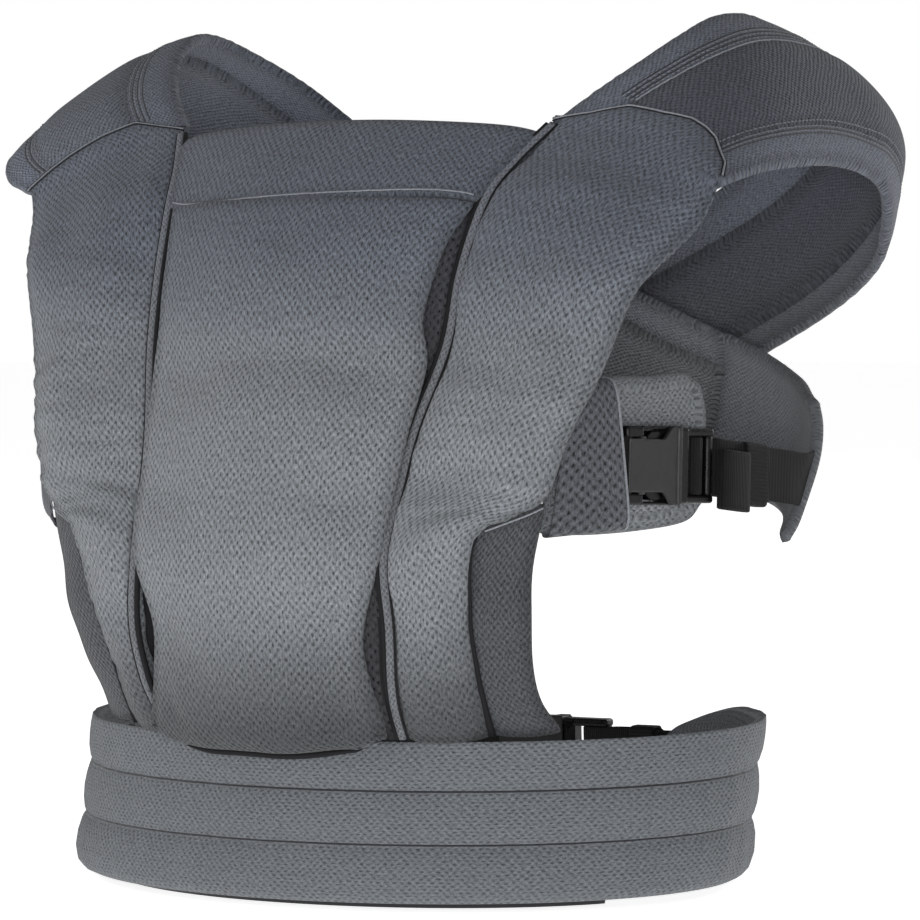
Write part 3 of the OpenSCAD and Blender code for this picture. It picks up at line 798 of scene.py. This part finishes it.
def ring_point(angle, inset, z):
    """Points of the waist ring; angle in radians from the front, inset from the outer face."""
    lean = -9 + 11 * z / WAIST_H
    return stack((WAIST_A - inset) * np.sin(angle) + lean, -(WAIST_B - inset) * np.cos(angle), z)


def waistband():
    """The padded band, as a grid of points: along it, and round its section."""
    end = math.radians(WAIST_END)
    a = np.linspace(-end, end, BAND_STEPS + 1)[:, None]
    # the profile goes up the outer face, over the top and down the inner face
    w = np.linspace(0, 1, BAND_SIDES, endpoint=False)[None, :]
    outer = w < BAND_OUTER
    up, down = w / BAND_OUTER, (w - BAND_OUTER) / (1 - BAND_OUTER)
    z = np.where(outer, up, 1 - down)
    arc, height = a * BAND_RADIUS, z * WAIST_H
    face = np.interp(z, BAND_FACE[:, 0], BAND_FACE[:, 1])
    full = np.clip(face / 6, 0, 1)
    face = face + full * (0.5 * noise_2d(arc, height, 3, 75)
                          + 0.5 * noise_2d(arc, height, 5, 34, (1, 2.5)))
    for k, seam in enumerate(BAND_SEAMS):
        pucker = 0.32 * noise_1d(arc, 11 + k, 13)
        face = face + near(height - seam * WAIST_H, 4.5) * pucker
    back = np.interp(z, BAND_BACK[:, 0], BAND_BACK[:, 1])
    back = back - 0.5 * noise_2d(arc, height, 8, 60) * (z < 0.8)
    # the band gets lower and thinner towards its ends, and closes there
    taper = math.radians(22)
    shrink = 1 - 0.35 * np.clip((np.abs(a) - (end - taper)) / taper, 0, 1) ** 2
    close = np.sqrt(1 - np.clip((np.abs(a) - (end - 0.03)) / 0.03, 0, 1) ** 2)
    middle = WAIST_T / 2
    inset = middle + (np.where(outer, -face, back) - middle) * np.maximum(close, 0.05) * shrink
    verts = ring_point(a, inset, WAIST_H / 2 + (height - WAIST_H / 2) * shrink
                       * (0.86 + 0.14 * close))
    run = np.concatenate([[0], np.cumsum(np.linalg.norm(np.diff(verts[:, 0], axis=0), axis=1))])
    around = np.where(outer, up * 86, 86 + down * 80)
    uv = stack((run - run[len(run) // 2])[:, None], around)
    obj = new_object("waistband_cover", verts.reshape(-1, 3),
                     swept_faces(BAND_STEPS + 1, BAND_SIDES), uv.reshape(-1, 2))
    fix_normals(obj)
    finish_piece(obj, "carrier", "band", "waistband")
    return verts


def band_line(band, height):
    """A line of points and normals on the band's outer face at a share of its height."""
    p = band[8:-8, int(round(height * BAND_OUTER * BAND_SIDES))]
    return p, unit(p * [1, 1, 0])


def band_seams(band):
    lines = [band_line(band, height) for height in BAND_SEAMS]
    for k, (at, out) in enumerate(lines):
        cord("band_sewn_" + str(k), at - out * 0.1, 0.55, "lining")
    stitches("stitch_waistband", lines, "thread", 2.6, 3.3, 0.24)


def waist_pad():
    a = np.radians(np.linspace(-62, 62, 91))
    low, high = [ring_point(a, WAIST_T + 0.6, z) for z in (-3.0, WAIST_H - 6)]
    pad("waist_pad_cover", Patch(low, high, [0, 0], 90, 20), 2.6, "lining",
        "waist_pad")


band_seams(waistband())
waist_pad()


# ------------------------------------------------------------------ front panel and liner
def panel_relief(p):
    s, u, d = p.s[:, None], p.uv[..., 0], edge_distance(p)
    return (1.1 * rise_from(d, 7) - 0.5 * near(d - 3.0, 1.1)
            + 1.1 * p.waves(21, 95, (1.8, 1)) + 0.35 * p.waves(22, 30, (2, 1))
            + 2.2 * np.clip((s - 0.72) / 0.28, 0, 1) * near(u, 40)
            + 0.5 * np.sin(u / 9.0) * near(1 - s, 1 / 9))


def front_panel():
    p = Patch(mirrored(PANEL_EDGE), PANEL_EDGE, PANEL_CROWN, 150, 96, flat=(0.2, 0.2))
    billow(p, lambda row, col: col < 0.03 or col > 0.97, 6, 0.02)
    p.push(panel_relief(p))
    # the lower edge hangs clear of the waistband, and its corners are rounded
    low = np.clip((p.s[:, None] - 0.84) / 0.16, 0, 1)
    corner = np.clip((np.abs(2 * p.u - 1) - 0.8) / 0.2, 0, 1)[None, :]
    p.g[..., 2] += 4.0 * low + 7.0 * low ** 2 * corner ** 2
    p.g[..., 1] -= 3.6 * low - 2.4 * low ** 8
    pad("front_panel_cover", p, thickness(p, 5.5, 2.4), "mesh", "front_panel")
    # painted shadow: a dark cord under the panel's lower edge, where it hangs over the waistband
    under = p.g[-1, 10:-6] + [0, 3.2, -1.4]
    share = np.linspace(0, 1, len(under))
    cord("panel_foot_shadow", under, 0.1 + 1.3 * np.minimum(1, 7 * share * (1 - share)) ** 0.8, "gap")


def panel_liner():
    rail = [[x - 4, y + 8 + 8 * min(max((180 - z) / 50, 0), 1), max(z - 6, 70)]
            for x, y, z in WING_IN if z < 330]
    p = Patch(mirrored(rail), rail, [10, 10, 10, 10, 10, 9, 8, 7, 6, 4], 90, 60, flat=(0.2, 0.2))
    p.push(1.2 * p.waves(31, 30, (1, 2)))
    pad("panel_liner_cover", p, 2.2, "liner", "panel_liner")


front_panel()
panel_liner()


# ------------------------------------------------------------------ wings, gussets, piping
def wing_relief(p, seed, first, low_creases):
    """Padding, sewn edges and creases; nothing at the pointed top, which ends at row first."""
    u, v = p.uv[..., 0], p.uv[..., 1]
    d = edge_distance(p)
    inner = u - u[:, :1]
    relief = (1.7 * rise_from(d, 8) - 2.6 * near(np.maximum(inner - 3.0, 0), 1.2)
              + 1.5 * p.waves(seed, 62, (1, 1.6)) + 0.5 * p.waves(seed + 5, 26, (2.2, 1), 0.9))
    corner = (near(v - 178, 34) + low_creases * near(v - 130, 45)) * np.clip(inner / 45, 0, 1)
    creases = p.waves(seed + 1, 15, (3.0, 1), 1.35)
    pucker = noise_1d(v, seed + 2, 9) * near(d, 6)
    relief = relief + creases * (0.15 + 1.0 * corner) + 0.35 * pucker
    relief[:first] *= np.linspace(0, 1, first)[:, None] ** 1.5
    return relief


def add_tongue(p, side, rows):
    """Runs the top of the wing up over the strap in so many rows, to a pointed end."""
    out, crown, _, tongue = STRAPS[side]
    share = np.array(tongue)
    end = np.interp(p.u, share[:, 0], share[:, 1])
    strap_rows, strap_share = 120, 0.12
    cloth = Patch(STRAP_IN, out, crown, strap_rows, len(p.u) - 1, s=(0, strap_share), side=-1,
                  flip=side == "right")
    normal = cloth.normals()
    w = np.linspace(1, 0, rows + 1)[:-1]
    r = np.clip(w[:, None] * end[None, :] / strap_share * strap_rows, 0, strap_rows - 0.001)
    i, f = r.astype(int), (r - r.astype(int))[..., None]
    j = np.arange(len(p.u))[None, :]
    top = cloth.g[i, j] * (1 - f) + cloth.g[i + 1, j] * f
    lifted = top + normal[i, j] * (2.0 * np.minimum(1, 4 * w) ** 0.7)[:, None, None]
    gap = np.linalg.norm(np.diff(np.concatenate([lifted, p.g[:1]]), axis=0), axis=2)
    v = -np.cumsum(gap[::-1], axis=0)[::-1]
    p.g = np.concatenate([lifted, p.g])
    p.uv = np.concatenate([stack(p.uv[:1, :, 0], v), p.uv])


def wing_cover(side):
    """The wing itself, with its pointed top, the thread that ends it, and dark cords of painted
    shadow beside and under that thread.
    """
    p = Patch(WING_IN, WING_OUT, WING_CROWN, 150, 64, flip=side == "right")
    billow(p, lambda row, col: col < 0.06 or col > 0.96, 7, 0.03)
    if side == "right":
        # it bulges outwards over the end of the side pad
        p.g[..., 0] -= 4.5 * p.u[None, :] ** 2 * near(p.g[..., 2] - 212, 28)
    rows = 22
    add_tongue(p, side, rows)
    # smooth the bend where the tongue starts
    for _ in range(60):
        middle = (p.g[rows - 10:rows + 13] + p.g[rows - 8:rows + 15]) / 2
        p.g[rows - 9:rows + 14] += 0.5 * (middle - p.g[rows - 9:rows + 14])
    joint = rows + 16
    gaps = np.linalg.norm(np.diff(p.g[:joint + 1], axis=0), axis=2)
    p.uv[:joint, :, 1] = p.uv[joint, :, 1] - np.cumsum(gaps[::-1], axis=0)[::-1]
    seed, low_creases = (41, 0.7) if side == "right" else (51, 0)
    p.push(wing_relief(p, seed, rows + 6, low_creases))
    # the tongue is thin, and the padding sets in over the rows below it
    thin, ease = 1.4, 12
    thick = np.array(thickness(p, 7.5, 3.2))
    thick[:rows] = thin
    thick[rows:rows + ease] = np.linspace(thin, 1, ease)[:, None] + (
        thick[rows:rows + ease] - 1) * np.linspace(0, 1, ease)[:, None]
    pad("wing_cover_" + side, p, thick, "mesh", "wing_" + side)
    at, up = p.g[0], p.normals()[0]
    ahead = unit(p.g[0] - p.g[1])
    trim_radius, thread = (0.32, "thread_mid") if side == "right" else (0.45, "thread_light")
    cord("wing_point_trim_" + side, at + up * 0.05, trim_radius, thread)
    # painted shadow: dark cords just inside the trim, and under the tip where it lies on the strap
    cord("wing_point_seam_shadow_" + side, at - ahead * 1.3 + up * 0.05, 0.35, "gap")
    cord("wing_point_shadow_" + side, at + ahead * 0.7 - up * 1.1, 0.8, "gap")


def wing_edges(side):
    """The rolled strip along the inner edge, dark cords of painted shadow in the grooves on either
    side of it, and the facing behind it.
    """
    steps = np.linspace(0.0, 1, 150)
    inner, turn = curve(WING_IN, steps), turned(side)
    rail = inner + [1.9, -0.4, 0]
    up = grid_normals(np.stack([inner, curve(WING_OUT, steps)], 1))[:, 0]
    cord("piping_cover_" + side, rail * turn, 2.0, "mesh_fine", 14, node="piping_" + side,
         flat=0.75, normals=up * turn)
    # painted shadow: dark cords in the groove by the panel and in the seam's groove by the wing
    cord("wing_gap_shadow_" + side, (rail + [-2.9, -0.1, 0]) * turn, 1.4, "gap")
    cord("wing_seam_shadow_" + side, (rail + [2.2, 0.2, 0]) * turn, 0.55, "gap")
    rail = [q for q in WING_IN if q[2] < 325]
    a = [[94, -53, 335]] + [[x + 14, y + 10, z - 1] for x, y, z in rail]
    b = [[89, -53, 334]] + [[x - 12, y + 12, z - 1] for x, y, z in rail]
    facing = Patch(a, b, [0, 0], 60, 8, side=-1, flip=side == "right")
    pad("wing_facing_" + side, facing, 0.8, "lining", None)


def gusset(side):
    inner = [[x - 5, y + 1.5, z] for x, y, z in GUSSET_IN]
    p = Patch(inner, GUSSET_OUT, [2] * 6, 60, 24, flip=side == "right")
    p.push(0.5 * rise_from(edge_distance(p), 5) + 0.5 * p.waves(61, 35))
    pad("gusset_cover_" + side, p, 3.4, "dark", "gusset_" + side)
    # painted shadow: a dark cord, widening downwards, under the wing's outer edge where it overlaps
    # the gusset
    edge = (curve(WING_OUT, np.linspace(0.64, 1, 60)) + [0.6, 1.6, 0]) * turned(side)
    cord("gusset_gap_shadow_" + side, edge, np.linspace(0.6, 1.8, 60), "gap")
    at, up = p.at(0.004, np.linspace(0.2, 1, 40))
    cord("gusset_trim_" + side, at + up * 0.9, 0.4, "thread_light")


for side_name in ("left", "right"):
    wing_cover(side_name)
    wing_edges(side_name)
    gusset(side_name)


# ------------------------------------------------------------------ head support
def head_support():
    p = Patch(mirrored(SUPPORT_SIDE), SUPPORT_SIDE, SUPPORT_CROWN, 44, 110, side=-1,
              flat=SUPPORT_FLAT)
    # the top edge is flatter in the middle and drops away at the corners
    top = np.clip((p.s[:, None] - 0.35) / 0.65, 0, 1) ** 1.5
    foot = 1 - np.clip(p.s[:, None] * 2.2, 0, 1)
    across = 2 * p.u[None, :] - 1
    p.g[..., 2] += (top * (2.6 * across ** 4 - 4.4 * across ** 10 - 1.0)
                    + foot * 3.5 * across * (1 - across ** 8))
    u, v = p.uv[..., 0], p.uv[..., 1]
    p.push(np.sin(np.pi * np.clip(v / v.max(), 0, 1)) ** 0.6 + 0.5 * p.waves(71, 50, (2, 1))
           + 0.2 * noise_1d(u, 72, 11) * near(v, 5))
    obj = slab("head_support_cover", p, thickness(p, 6.5, 3.0))
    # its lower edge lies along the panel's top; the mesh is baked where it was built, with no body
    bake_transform(obj)
    finish_piece(obj, None, "mesh", "head_support")
    row = np.linspace(0.01, 0.99, 90)
    at, up = p.at(0.985, row)
    cord("support_edge_cover", at - up * 1.9, 1.6, "mesh_fine", 10, "head_support", "support_edge")
    at, up = p.at(0.02, row)
    cord("support_seam", at + up * 0.1, 0.34, "thread_light")


head_support()


# ------------------------------------------------------------------ shoulder straps
def strap(side):
    """Three strips of padded cloth side by side, and the plain end that they run into."""
    out, crown, lift, _ = STRAPS[side]
    flip = side == "right"
    outer_share, inner_share, stop, rows = 0.2, 0.235, 0.86, 330

    def part(kind, u, s, cols, rows, node, mat, thick, puff, seed, low=0.0):
        """A share u across and s along the strap, puffed up by padding between its seams."""
        p = Patch(STRAP_IN, out, crown, rows, cols, s=s, u=u, lift=lift, side=-1, flip=flip)
        d, v = edge_distance(p), p.uv[..., 1]
        p.push(puff * rise_from(d, 6) + 0.9 * p.waves(seed, 70, (1, 1.5))
               + 0.25 * noise_1d(v, seed + 1, 10) * near(d, 5) - low)
        pad(f"strap_{kind}_cover_{side}", p, thick, mat, f"strap_{node}_{side}",
            wrap=False)
        return p

    # the wearer's right strap takes the lighter copy of the foam, painted light
    foam = part("foam", (inner_share, 1 - outer_share), (0.012, stop), 40, rows, "foam",
                "foam_lit_copy" if flip else "foam", 8.5, 1.5, 81)
    inner = part("inner", (0, inner_share - 0.002), (0.012, stop), 16, rows, "inner_edge",
                 "strip", 5.5, 0.7, 84, 0.4)
    outer = part("outer", (1 - outer_share + 0.002, 1), (0.002, stop), 16, rows, "outer_edge",
                 "strip", 5.5, 0.7, 87, 0.4)
    end = part("end", (0, 1), (stop + 0.003, 1), 60, 60, "end", "mesh_fine", 5.5,
               1.0, 90)
    s = np.linspace(0.036 if flip else 0.07, 0.995, 420)
    lines = [cloth.at(s, u) for cloth, u in
             ((inner, 0.70), (inner, 0.82), (inner, 0.94), (outer, 0.06), (outer, 0.2),
              (foam, 0.97))]
    stitches("stitch_strap_" + side, lines, "thread_mid", 2.3, 3.0, 0.34)
    for k, (cloth, u) in enumerate(((inner, 0.64), (inner, 0.76), (inner, 0.88), (outer, 0.13),
                                    (outer, 0.27))):
        at, up = cloth.at(s, u)
        cord(f"strap_sewn_{k}_{side}", at - up * 0.12, 0.42, "lining", 6)
    if not flip:
        at, up = foam.at(s, 0.012)
        cord("strap_piping_" + side, at + up * 0.1, 0.4, "thread_light")
    row = np.linspace(0.02, 0.98, 60)
    stitches("stitch_strap_end_" + side, [end.at(x, row) for x in (0.03, 0.9, 0.955)], "thread",
             2.3, 3.2, 0.34)


# ------------------------------------------------------------------ side pads, cover bands
def side_pad(side):
    p = Patch(PAD_LOW, PAD_TOP, [0, 0], 130, 84, lift=[2.7, 2.7], side=-1, flip=side == "right")
    v = p.uv[..., 1]
    d = np.minimum(edge_distance(p), v.max() - v)
    p.push(1.2 * rise_from(d, 7) - 0.5 * near(d - 4, 1.1) + 0.5 * p.waves(95, 40))
    pad("side_pad_cover_" + side, p, thickness(p, 5.5, 3.0), "mesh",
        "side_pad_" + side)


def cover_band(side):
    """The open sleeve of cloth round the side pad, over the end of the buckle."""
    low = [[132, -103, 167.6], [143, -86.5, 168.6], [151.8, -72.0, 169.4]]
    top = [[138.0, -94.5, 236.8], [144.2, -84.4, 237.6], [149.0, -77.0, 237.8]]
    half_depth = [6.0, 8.6, 11.4]
    out = unit(np.array([0.85, -0.52, 0]))
    rows, cols, length, thick = 24, 96, 28, 1.2
    s = np.linspace(0, 1, rows + 1)

    def section(angle):
        """A rounded oblong, as shares of its half depth and half height."""
        return (np.sign(np.cos(angle)) * np.abs(np.cos(angle)) ** 0.55,
                np.sign(np.sin(angle)) * np.abs(np.sin(angle)) ** 0.3)
    # evenly spaced round the section, from the side that doesn't show
    dense = np.linspace(math.pi, 3 * math.pi, 2001)
    around = np.cumsum(np.hypot(*[np.gradient(c) * k for c, k in zip(section(dense), (9, 34))]))
    cx, cz = section(np.interp(np.linspace(around[0], around[-1], cols, endpoint=False),
                               around, dense))
    share = (cz[None, :, None] + 1) / 2
    middle = curve(low, s)[:, None] * (1 - share) + curve(top, s)[:, None] * share
    g = middle + out * (cx[None, :] * curve(half_depth, s))[:, :, None]
    g, middle = g * turned(side), middle * turned(side)
    inner = g + unit(middle - g) * thick
    around = np.linalg.norm(np.diff(g[rows // 2], axis=0), axis=1)
    uv = stack(s[:, None] * length, np.concatenate([[0], np.cumsum(around)])).reshape(-1, 2)
    m = (rows + 1) * cols
    first, last = np.arange(cols), np.arange(m - cols, m)
    quads = grid_faces(rows + 1, cols, closed=True)
    faces = [quads, quads[:, ::-1] + m]
    for ring in (first, last[::-1]):
        ahead = np.roll(ring, -1)
        faces.append(np.stack([ring, ahead, ahead + m, ring + m], -1))
    obj = new_object("cover_band_cloth_" + side, np.concatenate([g, inner]).reshape(-1, 3),
                     np.concatenate(faces), np.concatenate([uv, uv]))
    fix_normals(obj)
    finish_piece(obj, "carrier", "cover", "cover_band_" + side)
    cord("cover_trim_" + side, np.concatenate([g[-1], g[-1][:2]]), 0.55, "piping")


for side_name in ("left", "right"):
    strap(side_name)
for side_name in ("left", "right"):
    side_pad(side_name)
    cover_band(side_name)


# ------------------------------------------------------------------ buckles and webbing
BAR, WEB_T = 1.8, 1.4


class Line:
    """A buckle's own frame: x along its webbing, y across it, z up. face is the outer side."""

    def __init__(self, where):
        self.where = where
        x = unit(SIDE_DIR)
        y = unit(np.cross([0, 0, 1], x))
        # the left buckle hangs a little nearer its pad than the right one
        slip = 5.0 if where == "left" else 0.5
        self.start, self.axes = SIDE_START - x * slip, np.array([x, y, np.cross(x, y)])
        self.width, self.face, self.sagging = 25, -1, SAG
        if where == "right":
            self.start, self.axes = self.start * turned(where), self.axes * turned(where)
        if where == "waist":
            self.start, self.axes, self.width, self.face = WAIST_START, np.eye(3), 38, 1
            self.sagging = 0

    def sag(self, x):
        """How far the webbing droops by its own weight at x along it."""
        return self.sagging * np.maximum(x - SAG_FROM, 0)

    def world(self, points):
        return self.start + np.asarray(points, float) @ self.axes

    def label(self, kind):
        return "waist_" + kind if self.where == "waist" else "side_" + kind + "_" + self.where


def block(lo, hi, r=0.9):
    """A box with rounded edges, as (vertices, faces)."""
    lo, hi = np.minimum(lo, hi), np.maximum(lo, hi)
    bm = bmesh.new()
    bmesh.ops.create_cube(bm, size=1)
    for v in bm.verts:
        v.co = Vector(lo + (np.array(v.co) + 0.5) * (hi - lo))
    bmesh.ops.bevel(bm, geom=bm.verts[:] + bm.edges[:], offset=r, segments=3, profile=0.5,
                    affect="EDGES")
    bm.verts.index_update()
    out = (np.array([v.co[:] for v in bm.verts]), [[v.index for v in f.verts] for f in bm.faces])
    bm.free()
    return out


def rod(x, y, z0, z1, r, sides=20):
    """An upright bar, as (vertices, faces)."""
    a = np.linspace(0, 2 * math.pi, sides, endpoint=False)
    rings = [stack(x + r * np.cos(a), y + r * np.sin(a), z) for z in (z0, z1)]
    return np.concatenate(rings), swept_faces(2, sides)


def plate(outline, y0, y1, r):
    """A plate with rounded edges from an (x, z) outline that goes round counter-clockwise."""
    o = np.asarray(outline, float)
    t = unit(np.roll(o, -1, 0) - np.roll(o, 1, 0))
    n = np.stack([t[:, 1], -t[:, 0]], 1)
    rings = []
    for y, inset in ((y0, r), (y0 + 0.3 * r, 0.3 * r), (y0 + r, 0), (y1 - r, 0),
                     (y1 - 0.3 * r, 0.3 * r), (y1, r)):
        q = o - n * inset
        rings.append(stack(q[:, 0], y, q[:, 1]))
    return np.concatenate(rings), swept_faces(len(rings), len(o))


def moulding(name, line, parts, body, node, material="gloss"):
    """Rigid parts in the buckle's frame, joined as one piece."""
    verts, faces, base = [], [], 0
    for v, f in parts:
        verts.append(v)
        faces += [[i + base for i in q] for q in f]
        base += len(v)
    obj = new_object(name, line.world(np.concatenate(verts)), faces, smooth=False)
    fix_normals(obj)
    finish_piece(obj, body, material, node)


def ribbon(name, g, thick, body, kind, node, outward=None):
    """A flat strap over the grid g, with rows along it; kind is webbing or elastic."""
    p = Patch([[0, 0, 0], [0, 0, 1]], [[1, 0, 0], [1, 0, 1]], [0, 0], 1, 1)
    p.g, p.uv = g, grid_uv(g)
    if outward is not None and (p.normals() * np.asarray(outward, float)).sum() < 0:
        p.side = -1
    p.g = p.g + p.normals() * thick / 2
    finish_piece(slab(name, p, thick), body, kind, node)


def strap_grid(path, width, slope=0.0):
    """A grid across width in z, along the world path; its far half leans by slope."""
    start = 0.45
    share = np.linspace(0, 1, 61)
    lean = slope * smooth_step((share - start) / (1 - start))
    across = stack(lean, 0, 1) * width / 2
    return curve(path, share)[:, None] + np.linspace(-1, 1, 9)[None, :, None] * across[:, None]


def web(line, kind, path, width, body, drop=0.0, rows=90, thick=WEB_T):
    """Webbing in the buckle's frame along an (x, y) path, seen edge-on from above.
    The path is for a face at +y."""
    q = curve(np.multiply(path, [1, line.face]), np.linspace(0, 1, rows + 1))
    z = np.linspace(-width / 2, width / 2, 9) - drop - line.sag(q[:, :1])
    ribbon(line.label(kind) + "_web", line.world(stack(q[:, :1], q[:, 1:2], z)), thick, body,
           "webbing", line.label(kind))


def buckle_socket(line):
    w, f, socket = line.width, line.face, line.label("socket")
    half = w / 2 + 5.5
    x = np.linspace(0.4, 37, 44)
    z = half - 5.9 * smooth_step((31.5 - x) / 8)
    outline = np.concatenate([np.stack([x, -z], 1), np.stack([x, z], 1)[::-1]])
    parts = [plate(outline, y, y + 2, 0.8) for y in (-5, 3)]
    parts.append(block([8.5, -4.2, -half + 4.8], [13, 4.2, half - 4.8]))
    for k in (-1, 1):
        parts.append(block([29.5, -4.2, k * (half - 2.2)], [36.9, 4.2, k * (half - 0.2)], 0.6))
    parts.append(rod(2.2, 0, -half + 3, half - 3, BAR))
    parts.append(block([34.4, f * 4.2, -half + 0.6], [37.2, f * 5.7, half - 0.6], 0.6))
    moulding(socket + "_shell", line, parts, "carrier", socket, "plastic")
    # the glossier walls that show above and below the waisted face
    parts = []
    for k in (-1, 1):
        parts.append(block([0.4, -3.4, k * (w / 2 - 0.4)], [12.5, 3.4, k * (half - 0.3)], 1.4))
        parts.append(block([11, -3.2, k * (half - 1.7)], [30, 3.2, k * (half - 0.3)], 0.6))
    moulding(socket + "_walls", line, parts, "carrier", None)


def buckle_plug(line):
    w, f, plug = line.width, line.face, line.label("plug")
    half = w / 2 + 4.5
    parts = [block([37.4, -4.2, -half], [43.6, 4.2, half], 1.1),
             block([16, -2.2, -2], [38.5, 2.2, 2], 0.6),
             rod(51, 0, -w / 2 - 1, w / 2 + 1, BAR),
             block([57.3, -f * 1.4, -w / 2 - 1.5], [61.8, f * 3.6, w / 2 + 1.5], 1.6)]
    for k in (-1, 1):
        parts.append(block([42, -4.0, k * (w / 2 + 0.6)], [62, 4.0, k * half], 1.4))
    moulding(plug + "_body", line, parts, plug, plug)
    mid = w / 2 - 3.5
    arm = np.array([[15, mid - 1.5], [37.6, mid - 1.5], [37.6, mid + 1.5], [31, mid + 1.6],
                    [28.5, mid + 3.4], [26, mid + 5.8], [23, mid + 6.8], [18, mid + 6.4],
                    [15.4, mid + 4.4], [14.4, mid + 1.5]])
    for outline, kind in ((arm, "prong_upper"), ((arm * [1, -1])[::-1], "prong_lower")):
        prong = line.label(kind)
        moulding(prong + "_arm", line, [plate(outline, -2.5, 2.5, 0.6)], prong, prong)


def buckle_webbing(line, reach, back, dip, end, drop):
    """The plug's loop out to reach, the anchor back to -back, and the tail folded at end."""
    w, plug = line.width, line.label("plug")
    web(line, "loop", [[reach, 2.3], [80, 2.6], [67, 2.4], [63, 0.2], [59.5, -2.3], [56, 0.4],
                       [53.4, 2.9], [50.6, 3.3], [48.3, 1.6], [48.3, -1.6], [50.6, -3.3],
                       [56, -3.5], [64, -3.0], [80, -2.5], [reach, -2.3]], w, plug, rows=160)
    web(line, "anchor", [[-back, 1.2 - dip], [-2.4, 2.4 - dip / 3], [2.0, 2.8], [4.5, 1.7],
                         [4.5, -1.7], [2.0, -2.8], [-2.4, -2.4 - dip / 3], [-back, -1.2 - dip]],
        w, "carrier")
    web(line, "tail", [[65, 4.1], [end - 6, 4.2], [end - 1, 4.9], [end, 7.0], [end - 2, 9.2],
                       [end - 7, 9.9], [69, 9.9], [64.5, 9.0], [63.6, 7.2], [66, 5.9],
                       [end - 7, 6.3]], w + 1.0, plug, drop, 130, 1.3)


def elastic_keeper(line, at, length, drop):
    """A ribbed band round the webbing."""
    half_depth, half_height = 4.8, line.width / 2 + 1.4
    a = np.linspace(0, 2 * math.pi, 65)[:, None]
    x = np.linspace(at, at + length, 14)
    y = half_depth * np.sign(np.cos(a)) * np.abs(np.cos(a)) ** 0.35 * -line.face
    z = half_height * np.sign(np.sin(a)) * np.abs(np.sin(a)) ** 0.12 - line.sag(x) - drop
    ribbon(line.label("keeper") + "_band", line.world(stack(x, y, z)), 1.2,
           line.label("keeper"), "elastic", line.label("keeper"))


for where in ("left", "right", "waist"):
    buckle_line = Line(where)
    buckle_socket(buckle_line)
    buckle_plug(buckle_line)
    if where == "waist":
        buckle_webbing(buckle_line, reach=90, back=16, dip=0, end=76, drop=2.0)
        elastic_keeper(buckle_line, 76, 12, 0)
    else:
        buckle_webbing(buckle_line, reach=104, back=6, dip=4.6, end=83, drop=5.5)
        elastic_keeper(buckle_line, 85, 15, 1.0)


def side_straps(side):
    """The webbing from the keeper to the shoulder strap, and the strip that holds the socket."""
    turn = turned(side)
    x = np.array([86, 97, 108, 120, 131])[:, None]
    line = SIDE_START + unit(SIDE_DIR) * x - [0, 0, SAG] * (x - SAG_FROM)
    line[-1, 0] -= 1.5
    path = np.concatenate([line, [[175.4, 66, 185.3], [170.2, 73.5, 185.6]]])
    ribbon("strap_webbing_cover_" + side, strap_grid(path * turn, 23.6, 0.33 * turn[0]), WEB_T,
           "carrier", "webbing", "strap_webbing_" + side, (turn[0], 0, 0))
    path = [[150.6, -76.6, 198.8], [147.6, -81.6, 198.8], [144.4, -87.6, 198.8],
            [140.6, -94.2, 198.8]]
    ribbon("anchor_strip_cover_" + side, strap_grid(path * turn, 25), 1.8, "carrier",
           "webbing", "anchor_strip_" + side, (turn[0], 0, 0))


def waist_tab(side, near_end):
    """Webbing from the waist buckle to the end of the waistband."""
    x = [near_end, 66, 79, 88, 97, 107, 118]
    y = [127, 127, 127, 124.6, 118, 105.5, 93]
    ribbon("waist_tab_cover_" + side, strap_grid(stack(x, y, 37) * turned(side), 36.6), WEB_T,
           "carrier", "webbing", "waist_tab_" + side, (0, 1, 0))


for side_name in ("left", "right"):
    side_straps(side_name)
waist_tab("left", 56.5)
waist_tab("right", 45)
